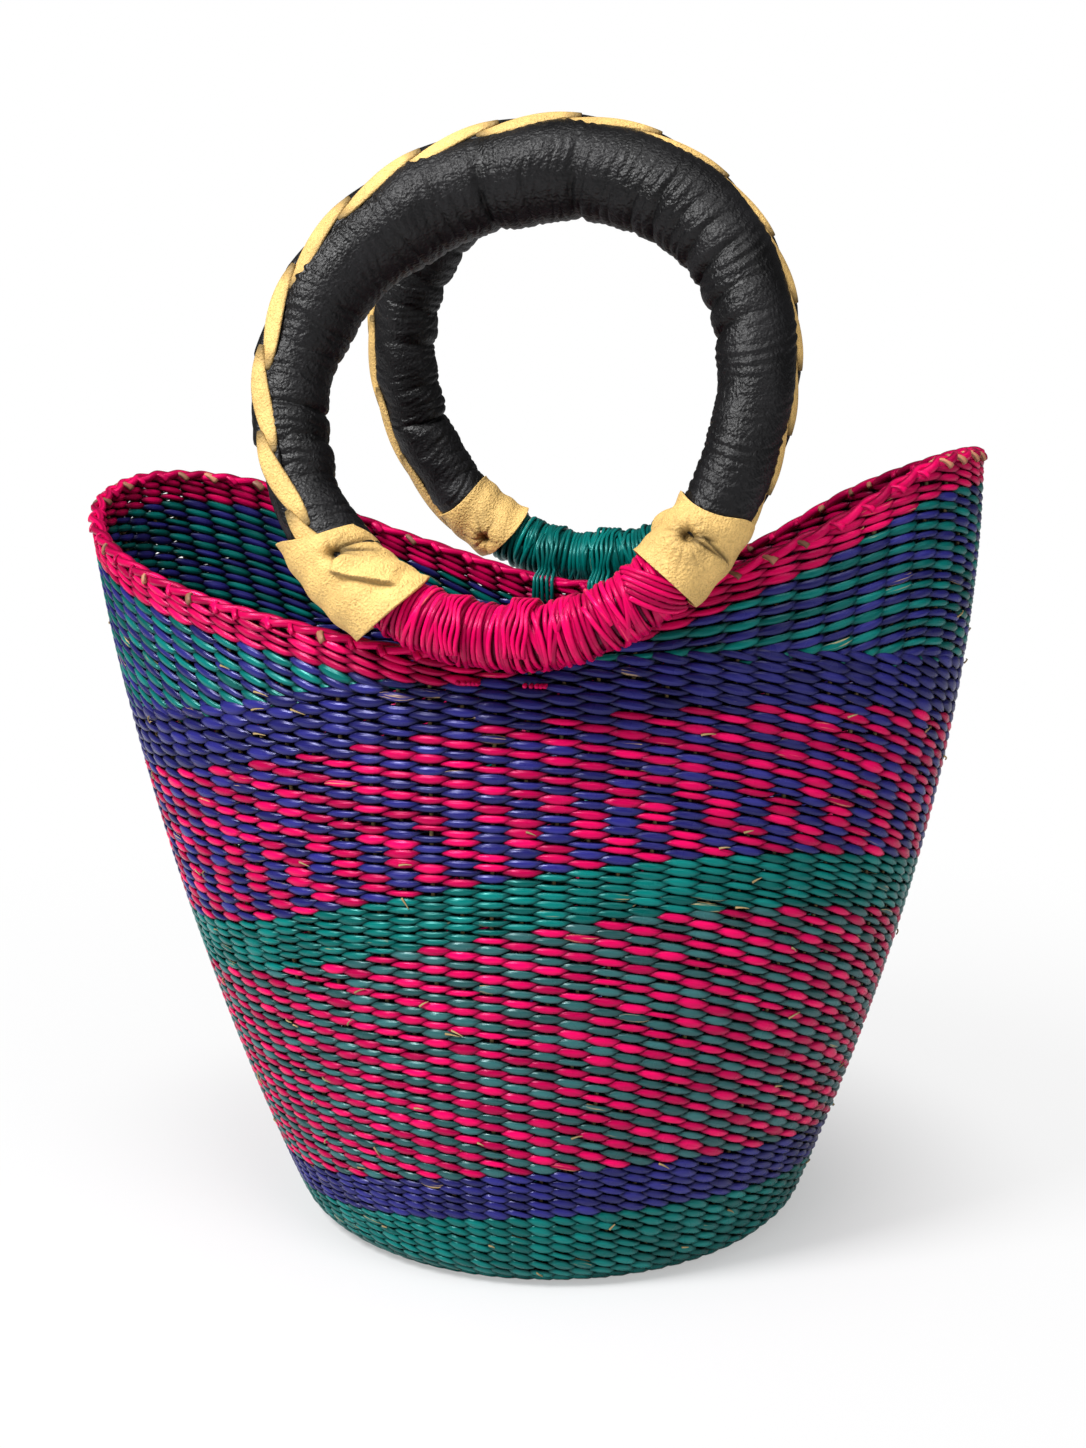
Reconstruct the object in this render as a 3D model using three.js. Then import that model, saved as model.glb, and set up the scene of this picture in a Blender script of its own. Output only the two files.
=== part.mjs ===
// A U-shaped woven straw basket: a round base, an oval mouth that dips at the front and the back
// and rises in a wing at each end, and two hoop handles: the front one leans in over the mouth.
// Millimetres, +Z up, +X along the mouth, -Y to the front. The origin is on the floor.
import * as THREE from 'three';

// Colours
const pink = 0xe6005c;
const blue = 0x2b2a6e;
const green = 0x0a6b5c;
const naturalStraw = 0xb89a63;
const black = 0x141416;
const tan = 0xe3b55f;

// The basket's wall
const baseRadius = 112.5;
const footCurl = 7;
const footCurlHeight = 11;
const baseThickness = 6;
const wallThickness = 6;
const mouthHalfWidth = 208.5;
const mouthHalfDepth = 86;
const bellyBulge = 22;
const baseShift = 20.5;
const wingHeight = 350;
const dipHeight = 272;
const flareShare = 1.66;
const bellyShare = 0.7;

// The rows climb to the right, sag at the two ends, and twist most at half their height
const rowClimbHeight = 16;
const rowSagHeight = 17;
const rowSettleHeight = 60;
const rowTwistHeight = 15;
const rowTwistSpan = 320;

// The height of each colour band's top edge, measured up the front
const footHeight = 32;
const lowerBlueHeight = 51;
const lowerCheckHeight = 152;
const middleGreenHeight = 174;
const upperCheckHeight = 238;
const shoulderHeight = 262;
const rimBandHeight = 11;
const rimBorderHeight = 4;
const rimBorderOverhang = 1;
const thinnestWing = 2;
const wingEndShare = 0.9;

// How far the rim has risen from the dips to the wings, in equal steps of angle from +X
const rimRiseShares = [
  1.0, 0.94, 0.7, 0.23, 0.0, 0.25, 0.6, 0.7,
  0.6, 0.41, 0.23, 0.09, 0.0, 0.24, 0.61, 0.96,
];

// The hoop handles
const frontHoopRadius = 99.3;
const rearHoopRadius = 96.1;
const frontShift = 30.1;
const rearShift = 0.4;
const frontLean = THREE.MathUtils.degToRad(22.5);
const rearLean = THREE.MathUtils.degToRad(3.6);
const frontRoll = THREE.MathUtils.degToRad(7);
const rearRoll = THREE.MathUtils.degToRad(2);
const flatBottomSpan = 0.55;
const axisAboveDip = 8;
const axisStandoff = 14;
const coreRadius = 8.2;
const sleeveClearance = 0.9;
const strandDiameter = 3.9;
const windingPitch = 4.9;
const mostLoops = 24;
const chordAllowance = 0.5;
const braidStrapWidth = 4.8;
const braidHeight = 5;
const frontCuffRadius = 17;
const frontSideRadius = 13.2;
const frontTopRadius = 20;
const rearCuffRadius = 14.5;
const rearSideRadius = 13.5;
const rearTopRadius = 18.3;
const strapOutlineShares = [
  [0, -1], [0.5, -1], [1, -0.5], [1, 0.5], [0.5, 1], [0, 1],
];
const hoops = [
  {
    name: 'front', side: -1, colour: pink,
    radius: frontHoopRadius, shift: frontShift, lean: frontLean, roll: frontRoll,
    ovalShares: [0.009, -0.003, 0.016, 0.02], flatShare: 0.022,
    windingEnd: THREE.MathUtils.degToRad(35.5), cuffEnd: THREE.MathUtils.degToRad(59),
    cuffRadius: frontCuffRadius, sleeveSideRadius: frontSideRadius, sleeveTopRadius: frontTopRadius,
  },
  {
    name: 'rear', side: 1, colour: green,
    radius: rearHoopRadius, shift: rearShift, lean: rearLean, roll: rearRoll,
    ovalShares: [0.031, 0.036, 0, 0], flatShare: 0,
    windingEnd: THREE.MathUtils.degToRad(28), cuffEnd: THREE.MathUtils.degToRad(45),
    cuffRadius: rearCuffRadius, sleeveSideRadius: rearSideRadius, sleeveTopRadius: rearTopRadius,
  },
];

// The straw ties that carry each hoop on the rim
const tieDiameter = 2.4;
const tieSpread = 14;
const tieSlack = 2.6;
const tieArc = [-75, -105, -140, -180, -220, -260, -300, -335].map(THREE.MathUtils.degToRad);

// Clearance and fineness
const fitGap = 0.3;
const roundSteps = 40;
const coreSides = 8;
const sleeveSides = 10;
const strandSides = 5;
const stepsPerLoop = 10;
const gapSamplesPerLoop = 30;
const tieSteps = 16;
const tieSides = 6;
const sleeveSteps = 24;
const cuffSteps = 4;

const fullTurn = 2 * Math.PI;
const clamp = THREE.MathUtils.clamp;

function straw(color) {
  return new THREE.MeshStandardMaterial({ color, roughness: 0.55, metalness: 0 });
}

function leather(color) {
  return new THREE.MeshStandardMaterial({ color, roughness: 0.45, metalness: 0 });
}

const pinkStraw = straw(pink);
const blueStraw = straw(blue);
const greenStraw = straw(green);
const plainStraw = straw(naturalStraw);
const blackLeather = leather(black);
const tanLeather = leather(tan);

// A point of the wall's face: an ellipse at each height, wider and flatter towards the mouth
function wallPoint(angle, height, inset) {
  const rise = clamp(height / wingHeight, 0, 1);
  const curl = footCurl * Math.max(0, 1 - height / footCurlHeight) ** 2;
  const flare = 1 - (1 - rise) ** flareShare;
  const bulge = bellyBulge * Math.sin(Math.PI * rise ** bellyShare);
  const halfWidth = baseRadius + (mouthHalfWidth - baseRadius) * flare - curl - inset;
  const halfDepth = baseRadius + (mouthHalfDepth - baseRadius) * rise + bulge - curl - inset;
  const middle = baseShift * (1 - rise);
  return new THREE.Vector3(
    middle + halfWidth * Math.cos(angle),
    halfDepth * Math.sin(angle),
    height,
  );
}

// The height of the row that stands frontHeight up the front, at another angle round the wall
function rowHeight(frontHeight, angle) {
  const sag = rowSagHeight * (1 - Math.exp(-frontHeight / rowSettleHeight)) * Math.cos(angle) ** 2;
  const climb = rowClimbHeight * Math.sqrt(frontHeight / shoulderHeight) * Math.cos(angle);
  const twist = rowTwistHeight * Math.sin((Math.PI * frontHeight) / rowTwistSpan) * Math.sin(2 * angle);
  return frontHeight - sag + climb - twist;
}

// The top of the rim, a smooth closed curve through the rise shares
function rimHeight(angle) {
  const count = rimRiseShares.length;
  const place = THREE.MathUtils.euclideanModulo(angle / fullTurn, 1) * count;
  const index = Math.floor(place);
  const t = place - index;
  const [a, b, c, d] = [-1, 0, 1, 2].map((k) => rimRiseShares[(index + k + count) % count]);
  const linear = (c - a) / 2;
  const square = a - 2.5 * b + 2 * c - d / 2;
  const cube = (d - a) / 2 + 1.5 * (b - c);
  return dipHeight + (wingHeight - dipHeight) * (b + t * (linear + t * (square + t * cube)));
}

// The same on the flat facet between the two stations beside the angle
function rimFacetHeight(angle) {
  const step = fullTurn / roundSteps;
  const station = Math.floor(angle / step) * step;
  return THREE.MathUtils.lerp(rimHeight(station), rimHeight(station + step), (angle - station) / step);
}

function rimBandLow(angle) {
  return rimHeight(angle) - rimBorderHeight - rimBandHeight;
}

function shoulderHigh(angle) {
  return Math.min(rowHeight(shoulderHeight, angle), rimBandLow(angle) - fitGap);
}

// Joins rings of points into one closed solid; each ring is a closed outline of paired points
function loft(rings, closed) {
  const count = rings[0].length;
  const positions = rings.flat().flatMap((p) => [p.x, p.y, p.z]);
  const index = [];
  const quad = (a, b, c, d) => index.push(a, b, c, a, c, d);
  const last = closed ? rings.length : rings.length - 1;
  for (let i = 0; i < last; i++) {
    const here = i * count;
    const next = ((i + 1) % rings.length) * count;
    for (let j = 0; j < count; j++) {
      const k = (j + 1) % count;
      quad(here + j, next + j, next + k, here + k);
    }
  }
  if (!closed) {
    capRing(index, 0, count, false);
    capRing(index, (rings.length - 1) * count, count, true);
  }
  const geometry = new THREE.BufferGeometry();
  geometry.setAttribute('position', new THREE.Float32BufferAttribute(positions, 3));
  geometry.setIndex(facingOut(positions, index));
  geometry.computeVertexNormals();
  return geometry;
}

// Closes an end ring with a ladder of triangles between its two sides
function capRing(index, start, count, flip) {
  const push = (a, b, c) => (flip ? index.push(a, c, b) : index.push(a, b, c));
  let low = 0;
  let high = count - 1;
  while (high - low >= 2) {
    push(start + low, start + low + 1, start + high);
    if (high - low > 2) {
      push(start + low + 1, start + high - 1, start + high);
    }
    low += 1;
    high -= 1;
  }
}

// Turns every triangle round when the solid would come out inside out
function facingOut(positions, index) {
  const corner = (i) => new THREE.Vector3().fromArray(positions, 3 * index[i]);
  let volume = 0;
  for (let i = 0; i < index.length; i += 3) {
    volume += corner(i).dot(corner(i + 1).cross(corner(i + 2)));
  }
  if (volume > 0) {
    return index;
  }
  return index.map((_, i) => index[i - (i % 3) + [0, 2, 1][i % 3]]);
}

// The outline of a piece of wall at one angle: up its outer face and down its inner face
function wallRing({ low, high, levels, proud = 0 }, angle) {
  const heights = Array.from({ length: levels + 1 }, (_, j) =>
    THREE.MathUtils.lerp(low(angle), high(angle), j / levels));
  const outer = heights.map((height) => wallPoint(angle, height, -proud));
  const inner = heights.map((height) => wallPoint(angle, height, wallThickness + proud));
  return [...outer, ...inner.reverse()];
}

// A piece of wall that runs all the way round
function wallPiece(piece) {
  const rings = Array.from({ length: roundSteps }, (_, i) =>
    wallRing(piece, (fullTurn * i) / roundSteps));
  return loft(rings, true);
}

// A band whose two edges follow the rows
function rowBand(lowFront, highFront, levels) {
  return wallPiece({
    low: (angle) => (lowFront > 0 ? rowHeight(lowFront, angle) + fitGap : 0),
    high: (angle) => rowHeight(highFront, angle),
    levels,
  });
}

// One wing's stripes fill the wall between the shoulder and the rim, as far round as they have height
function wingStripes(middle) {
  const piece = {
    low: (angle) => rowHeight(shoulderHeight, angle) + fitGap,
    high: (angle) => rimBandLow(angle) - fitGap,
    levels: 3,
  };
  const height = (angle) => piece.high(angle) - piece.low(angle);
  const step = fullTurn / roundSteps;
  const half = (turn) => {
    const rings = [];
    let angle = middle;
    while (height(angle + turn * step) > thinnestWing && rings.length < roundSteps / 4 - 1) {
      angle += turn * step;
      rings.push(wallRing(piece, angle));
    }
    const lost = Math.max(height(angle) - height(angle + turn * step), fitGap);
    const share = Math.min((height(angle) - thinnestWing) / lost, wingEndShare);
    const next = wallRing(piece, angle + turn * step);
    const last = wallRing(piece, angle);
    rings.push(last.map((point, i) => point.lerp(next[i], share)));
    return rings;
  };
  return loft([...half(-1).reverse(), wallRing(piece, middle), ...half(1)], false);
}

// The flat woven disc that the basket stands on, inside the foot
function baseDisc() {
  const radius = wallPoint(0, 0, wallThickness).x - baseShift - fitGap;
  const outline = [
    new THREE.Vector2(0, 0),
    new THREE.Vector2(radius, 0),
    new THREE.Vector2(radius, baseThickness),
    new THREE.Vector2(0, baseThickness),
  ];
  const geometry = new THREE.LatheGeometry(outline, roundSteps);
  geometry.rotateX(Math.PI / 2);
  geometry.translate(baseShift, 0, 0);
  return geometry;
}

// Where a hoop turns on the rim: the middle of the lowest part of its core
function hoopAxis(hoop) {
  const wallFace = wallPoint(Math.PI / 2, dipHeight, 0).y;
  return new THREE.Vector3(hoop.shift, hoop.side * (wallFace + axisStandoff), dipHeight + axisAboveDip);
}

// A hoop is bent by hand, not quite round: the radius of its middle line at a place counted from
// its lowest point, where it is flattened a little
function ringRadius(hoop, place) {
  const [pull, slant, peak, heave] = hoop.ovalShares;
  const raised = 1 - Math.exp(-((2 * Math.sin(place / 2) / flatBottomSpan) ** 2));
  return hoop.radius * (1 + hoop.flatShare * raised
    + pull * (Math.cos(2 * place) - 1) + slant * Math.sin(2 * place)
    + peak * (Math.cos(3 * place) - 1) + heave * Math.sin(3 * place));
}

// A point round a hoop: turn is counted from the middle of its winding, which lies a roll to the
// right of its lowest point; away and around are polar in its section, around = 0 pointing out
function hoopPoint(hoop, turn, away, around) {
  const across = new THREE.Vector3(1, 0, 0);
  const up = new THREE.Vector3(0, -hoop.side * Math.sin(hoop.lean), Math.cos(hoop.lean));
  const normal = new THREE.Vector3(0, hoop.side * Math.cos(hoop.lean), Math.sin(hoop.lean));
  const place = turn + hoop.roll;
  const radial = across.clone().multiplyScalar(Math.sin(place)).addScaledVector(up, -Math.cos(place));
  return hoopAxis(hoop)
    .addScaledVector(up, hoop.radius)
    .addScaledVector(radial, ringRadius(hoop, place) + away * Math.cos(around))
    .addScaledVector(normal, away * Math.sin(around));
}

function hoopCore(hoop) {
  const rings = [];
  for (let i = 0; i < roundSteps; i++) {
    const turn = (fullTurn * i) / roundSteps;
    rings.push(Array.from({ length: coreSides }, (_, j) =>
      hoopPoint(hoop, turn, coreRadius, (fullTurn * j) / coreSides)));
  }
  return loft(rings, true);
}

// A hollow sleeve round the core between two turns, its outside radius given turn by turn
function hollowSleeve(hoop, from, to, steps, outerRadius) {
  const bore = (coreRadius + sleeveClearance) / Math.cos(Math.PI / sleeveSides);
  const turns = Array.from({ length: steps + 1 }, (_, i) => from + ((to - from) * i) / steps);
  const rings = [];
  for (let j = 0; j < sleeveSides; j++) {
    const around = (fullTurn * j) / sleeveSides;
    const outer = turns.map((turn) => hoopPoint(hoop, turn, outerRadius(turn), around));
    const inner = turns.map((turn) => hoopPoint(hoop, turn, bore, around));
    rings.push([...outer, ...inner.reverse()]);
  }
  return loft(rings, true);
}

// The padded leather is thickest at the top of the hoop, where the hand holds it
function sleeveRadius(hoop, turn) {
  const topShare = ((1 - Math.cos(turn)) / 2) ** 2;
  return THREE.MathUtils.lerp(hoop.sleeveSideRadius, hoop.sleeveTopRadius, topShare);
}

function leatherSleeve(hoop) {
  const end = hoop.cuffEnd + fitGap / hoop.radius;
  return hollowSleeve(hoop, end, fullTurn - end, sleeveSteps, (turn) => sleeveRadius(hoop, turn));
}

function cuff(hoop, hand) {
  const near = hand * (hoop.windingEnd + fitGap / hoop.radius);
  return hollowSleeve(hoop, near, hand * hoop.cuffEnd, cuffSteps, () => hoop.cuffRadius);
}

// The straw wound round the core from cuff to cuff, as one strand whose ends run on into the cuffs
function windingPath(hoop, stepsEach) {
  const endRun = (strandDiameter + fitGap) / hoop.radius;
  const half = hoop.windingEnd - endRun - strandDiameter / 2 / hoop.radius;
  const loops = Math.min(mostLoops, Math.round((2 * half * hoop.radius) / windingPitch));
  const away = coreRadius + fitGap + chordAllowance + strandDiameter / 2;
  const steps = loops * stepsEach;
  const path = [];
  for (let i = 0; i <= steps; i++) {
    path.push({ turn: -half + (2 * half * i) / steps, around: (fullTurn * i) / stepsEach, away });
  }
  path.unshift({ ...path[0], turn: -half - strandDiameter / hoop.radius });
  path.push({ ...path.at(-1), turn: half + strandDiameter / hoop.radius });
  return path;
}

function strawWinding(hoop) {
  const path = windingPath(hoop, stepsPerLoop);
  const place = ({ turn, away, around }) => hoopPoint(hoop, turn, away, around);
  const points = path.map(place);
  const rings = points.map((point, i) => {
    const before = points[Math.max(i - 1, 0)];
    const after = points[Math.min(i + 1, points.length - 1)];
    const along = after.clone().sub(before).normalize();
    const middle = hoopPoint(hoop, path[i].turn, 0, 0);
    const outward = point.clone().sub(middle);
    outward.addScaledVector(along, -outward.dot(along)).normalize();
    const sideways = along.clone().cross(outward);
    return Array.from({ length: strandSides }, (_, j) => {
      const angle = (fullTurn * j) / strandSides;
      return point.clone()
        .addScaledVector(outward, (strandDiameter / 2) * Math.cos(angle))
        .addScaledVector(sideways, (strandDiameter / 2) * Math.sin(angle));
    });
  });
  console.log(`${hoop.name} winding: least gap between turns ${leastGap(hoop).toFixed(2)} mm`);
  return loft(rings, false);
}

// The least gap between one turn of the winding and the turns beside it, measured on points
function leastGap(hoop) {
  const path = windingPath(hoop, gapSamplesPerLoop).slice(1, -1);
  const points = path.map(({ turn, away, around }) => hoopPoint(hoop, turn, away, around));
  let least = Infinity;
  for (let i = 0; i < points.length; i++) {
    const end = Math.min(points.length, i + 2 * gapSamplesPerLoop);
    for (let j = i + gapSamplesPerLoop / 2; j < end; j++) {
      least = Math.min(least, points[i].distanceTo(points[j]));
    }
  }
  return least - strandDiameter;
}

// One strap of the two-strand trim that lies along the outside of the leather
function braidStrap(hoop, hand) {
  const from = hoop.cuffEnd + fitGap / hoop.radius;
  const middle = hand * (braidStrapWidth + fitGap) / 2;
  const rings = [];
  for (let i = 0; i <= sleeveSteps; i++) {
    const turn = from + ((fullTurn - 2 * from) * i) / sleeveSteps;
    const seat = sleeveRadius(hoop, turn) + fitGap;
    rings.push(strapOutlineShares.map(([outShare, sideShare]) => {
      const out = seat + braidHeight * outShare;
      const side = middle + (braidStrapWidth / 2) * sideShare;
      return hoopPoint(hoop, turn, Math.hypot(out, side), Math.atan2(side, out));
    }));
  }
  return loft(rings, false);
}

// The angle at which the wall's face at a height stands at this x
function angleAcross(x, height) {
  const right = wallPoint(0, height, 0).x;
  const left = wallPoint(Math.PI, height, 0).x;
  return Math.acos((2 * x - right - left) / (right - left));
}

// A tie goes over the hoop and under it, from the top of the rim to the wall's outer face
function rimTie(hoop, hand) {
  const axis = hoopAxis(hoop);
  const hug = coreRadius + fitGap + chordAllowance + strandDiameter + tieSlack + tieDiameter / 2;
  const x = axis.x + hand * tieSpread;
  const angle = hoop.side * angleAcross(x, dipHeight);
  const rimTop = rimFacetHeight(angle) + 2 * fitGap - axis.z;
  const wallFace = Math.abs(wallPoint(angle, axis.z - hug, -2 * fitGap).y);
  const wallMiddle = Math.abs(wallPoint(angle, dipHeight, wallThickness / 2).y);
  const standoff = Math.abs(axis.y);
  const route = [
    [standoff - wallFace, -hug],
    ...tieArc.map((turn) => [hug * Math.cos(turn), hug * Math.sin(turn)]),
    [standoff - wallMiddle, rimTop + tieDiameter],
    [standoff - wallMiddle, rimTop],
  ];
  const curve = new THREE.CatmullRomCurve3(route.map(([inward, up]) =>
    new THREE.Vector3(x, hoop.side * (standoff - inward), axis.z + up)));
  const section = new THREE.Shape();
  section.absarc(0, 0, tieDiameter / 2, 0, fullTurn);
  return new THREE.ExtrudeGeometry(section, {
    steps: tieSteps, curveSegments: tieSides, extrudePath: curve, bevelEnabled: false,
  });
}

const basket = new THREE.Group();

function add(name, geometry, material) {
  const mesh = new THREE.Mesh(geometry, material);
  mesh.name = name;
  basket.add(mesh);
}

add('base_disc', baseDisc(), greenStraw);
add('foot_green_band', rowBand(0, footHeight, 3), greenStraw);
add('lower_blue_band', rowBand(footHeight, lowerBlueHeight, 1), blueStraw);
add('lower_check_band', rowBand(lowerBlueHeight, lowerCheckHeight, 4), pinkStraw);
add('middle_green_band', rowBand(lowerCheckHeight, middleGreenHeight, 1), greenStraw);
add('upper_check_band', rowBand(middleGreenHeight, upperCheckHeight, 2), pinkStraw);
add('shoulder_blue_band', wallPiece({
  low: (angle) => rowHeight(upperCheckHeight, angle) + fitGap,
  high: shoulderHigh,
  levels: 1,
}), blueStraw);
add('left_wing_stripes', wingStripes(Math.PI), greenStraw);
add('right_wing_stripes', wingStripes(0), greenStraw);
add('rim_pink_band', wallPiece({
  low: rimBandLow,
  high: (angle) => rimHeight(angle) - rimBorderHeight - 2 * fitGap,
  levels: 1,
}), pinkStraw);
add('rim_border', wallPiece({
  low: (angle) => rimHeight(angle) - rimBorderHeight,
  high: rimHeight,
  levels: 1,
  proud: rimBorderOverhang,
}), plainStraw);

for (const hoop of hoops) {
  add(`${hoop.name}_hoop_core`, hoopCore(hoop), plainStraw);
  add(`${hoop.name}_leather_sleeve`, leatherSleeve(hoop), blackLeather);
  add(`${hoop.name}_cuff_left`, cuff(hoop, -1), tanLeather);
  add(`${hoop.name}_cuff_right`, cuff(hoop, 1), tanLeather);
  add(`${hoop.name}_straw_winding`, strawWinding(hoop), straw(hoop.colour));
  add(`${hoop.name}_braid_tan`, braidStrap(hoop, 1), tanLeather);
  add(`${hoop.name}_braid_black`, braidStrap(hoop, -1), blackLeather);
  add(`${hoop.name}_tie_left`, rimTie(hoop, -1), straw(hoop.colour));
  add(`${hoop.name}_tie_right`, rimTie(hoop, 1), straw(hoop.colour));
}

export default basket;
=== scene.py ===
# A U-shaped basket of twined straw with two leather hoop handles, in metres.
# Every strand of the weave is a tube carried along a helix round the standing stakes.
import math

import bpy
import numpy as np
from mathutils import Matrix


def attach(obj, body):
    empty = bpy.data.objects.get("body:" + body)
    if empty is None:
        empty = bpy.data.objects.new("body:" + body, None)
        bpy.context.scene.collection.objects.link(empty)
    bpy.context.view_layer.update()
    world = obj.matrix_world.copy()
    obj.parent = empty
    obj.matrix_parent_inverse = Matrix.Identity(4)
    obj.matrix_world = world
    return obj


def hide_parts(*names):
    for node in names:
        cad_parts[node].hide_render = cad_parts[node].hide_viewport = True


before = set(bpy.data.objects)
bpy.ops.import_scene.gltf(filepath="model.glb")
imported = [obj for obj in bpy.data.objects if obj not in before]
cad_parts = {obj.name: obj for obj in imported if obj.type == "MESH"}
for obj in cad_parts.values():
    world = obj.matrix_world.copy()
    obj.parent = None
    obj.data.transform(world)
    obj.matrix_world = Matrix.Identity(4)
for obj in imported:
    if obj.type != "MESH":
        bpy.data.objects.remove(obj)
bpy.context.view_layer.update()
print("frame loaded")

# Camera, as the photograph was taken
cameraValues = {"lens": 55.6, "sensor": 36, "place": (0.3067, -0.9519, 0.430), "azimuth": 17, "pitch": 11.9}


def addObject(name, data):
    thing = bpy.data.objects.new(name, data)
    bpy.context.collection.objects.link(thing)
    return thing


def addCamera(values):
    data = bpy.data.cameras.new("photoCamera")
    data.sensor_fit = "VERTICAL"
    data.sensor_height = values["sensor"]
    data.lens = values["lens"]
    camera = addObject("photoCamera", data)
    camera.location = values["place"]
    camera.rotation_euler = (math.radians(90 - values["pitch"]), 0, math.radians(values["azimuth"]))
    bpy.context.scene.camera = camera


addCamera(cameraValues)

# Meshes from rings: each tube is an array of rings, steps x sides x 3


def joinTubes(name, tubes, material, body, stands=()):
    # quad (i, j) joins ring i to ring i + 1; an open tube gets a flat cap at each end
    points, quads, caps, uvs = [], [], [], []
    shade, wear, crest = [], [], []
    start = 0
    for tube in tubes:
        rings = tube["rings"]
        steps, sides = rings.shape[:2]
        closed = tube["closed"]
        last = steps if closed else steps - 1
        i = np.arange(last)[:, None]
        j = np.arange(sides)[None, :]
        ii, jj = (i + 1) % steps, (j + 1) % sides
        quads.append(start + np.stack([i * sides + j, i * sides + jj, ii * sides + jj, ii * sides + j], -1)
                     .reshape(-1, 4))
        along = tube["along"]
        u0 = np.broadcast_to(along[:last, None], (last, sides))
        u1 = np.broadcast_to(along[1:last + 1, None], (last, sides))
        v0 = np.broadcast_to(j / sides, (last, sides))
        v1 = v0 + 1 / sides
        uvs.append(np.stack([np.stack(pair, -1) for pair in ((u0, v0), (u0, v1), (u1, v1), (u1, v0))], 2)
                   .reshape(-1, 2))
        if not closed:
            caps.append(start + np.arange(sides)[::-1])
            caps.append(start + (steps - 1) * sides + np.arange(sides))
        for store, key in ((shade, "shade"), (wear, "wear"), (crest, "crest")):
            value = np.asarray(tube.get(key, 0.5), float)
            value = value if value.ndim == 2 else np.broadcast_to(value, (steps,))[:, None]
            store.append(np.broadcast_to(value, (steps, sides)).ravel())
        points.append(rings.reshape(-1, 3))
        start += steps * sides
    finishMesh(name, np.concatenate(points), np.concatenate(quads), caps, np.concatenate(uvs),
               {"shade": shade, "wear": wear, "crest": crest}, material, body, stands)


def finishMesh(name, points, quads, caps, uvs, values, material, body, stands):
    # vertices, then loops of the quads followed by those of the caps
    mesh = bpy.data.meshes.new(name)
    loops = np.concatenate([quads.ravel(), *caps]).astype(np.int32)
    totals = np.array([4] * len(quads) + [len(cap) for cap in caps])
    starts = np.concatenate([[0], np.cumsum(totals)[:-1]]).astype(np.int32)
    mesh.vertices.add(len(points))
    mesh.vertices.foreach_set("co", points.astype(np.float32).ravel())
    mesh.loops.add(len(loops))
    mesh.loops.foreach_set("vertex_index", loops)
    mesh.polygons.add(len(totals))
    mesh.polygons.foreach_set("loop_start", starts)
    mesh.update(calc_edges=True)
    uvLayer = mesh.uv_layers.new(name="strand")
    flat = np.zeros((len(loops), 2), np.float32)
    flat[:len(uvs)] = uvs
    uvLayer.data.foreach_set("uv", flat.ravel())
    for key, store in values.items():
        layer = mesh.attributes.new(key, "FLOAT", "POINT")
        layer.data.foreach_set("value", np.concatenate(store).astype(np.float32))
    mesh.shade_smooth()
    mesh.materials.append(material)
    piece = addObject(name, mesh)
    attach(piece, body)
    if stands:
        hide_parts(*stands)


def unit(vectors):
    return vectors / np.maximum(np.linalg.norm(vectors, axis=-1, keepdims=True), 1e-12)


def tangents(path, closed):
    # difference of the neighbours, wrapped round where the path is closed
    if closed:
        return unit(np.roll(path, -1, 0) - np.roll(path, 1, 0))
    return unit(np.gradient(path, axis=0))


def lengthAlong(path, closed):
    # running length, with one more entry where the path is closed
    ends = np.concatenate([path, path[:1]]) if closed else path
    return np.concatenate([[0], np.cumsum(np.linalg.norm(np.diff(ends, axis=0), axis=1))])


def roundAngles(sides):
    return 2 * np.pi * np.arange(sides) / sides


# painted shade: the share of a strand's tone left at the two edges of its section
edgeLight = 0.35


def strand(path, normal, halfWidth, halfDepth, sides, closed=False, offset=0.0, crest=0.85, **values):
    # ring = centre + across * halfWidth * cos + outward * halfDepth * sin; crest * min(1, edgeLight + |sin|)
    # is painted shade, darkest at the ring's two edges
    along = tangents(path, closed)
    across = unit(np.cross(normal, along))
    outward = np.cross(along, across)
    around = roundAngles(sides)
    wide = np.broadcast_to(halfWidth, (len(path),))[:, None, None] * np.cos(around)[None, :, None]
    deep = np.broadcast_to(halfDepth, (len(path),))[:, None, None] * np.sin(around)[None, :, None]
    rings = path[:, None] + across[:, None] * wide + outward[:, None] * deep
    lit = np.broadcast_to(crest, (len(path),))[:, None] * np.minimum(1, edgeLight + np.abs(np.sin(around)))
    return {"rings": rings, "closed": closed, "along": lengthAlong(path, closed) + offset, "crest": lit,
            **values}


# Materials

palette = {
    "pink": (0.78, 0.0015, 0.106),
    "blue": (0.022, 0.021, 0.185),
    "green": (0.001, 0.165, 0.150),
    "greyGreen": (0.028, 0.125, 0.130),
    "plain": (0.52, 0.36, 0.15),
    "stub": (0.48, 0.20, 0.11),
    "black": (0.0065, 0.0062, 0.0070),
    "tan": (0.90, 0.58, 0.195),
}


def feed(tree, socket, value):
    # a link where the value is another socket, or else a number or a colour set on the socket
    if isinstance(value, bpy.types.NodeSocket):
        tree.links.new(value, socket)
    else:
        socket.default_value = (*value, 1) if isinstance(value, tuple) else value


def addNode(tree, kind, settings=None, **inputs):
    node = tree.nodes.new("ShaderNode" + kind)
    for key, value in (settings or {}).items():
        setattr(node, key, value)
    for label, value in inputs.items():
        feed(tree, node.inputs[label], value)
    return node


def maths(tree, operation, *values, clamp=False):
    node = addNode(tree, "Math", {"operation": operation, "use_clamp": clamp})
    for socket, value in zip(node.inputs, values):
        feed(tree, socket, value)
    return node.outputs[0]


def mixColour(tree, share, first, second):
    return addNode(tree, "Mix", {"data_type": "RGBA"}, Factor=share, A=first, B=second).outputs["Result"]


def attribute(tree, name):
    return addNode(tree, "Attribute", {"attribute_name": name}).outputs["Fac"]


def tinted(colour, factor):
    return tuple(min(1.0, part * factor) for part in colour)


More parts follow.
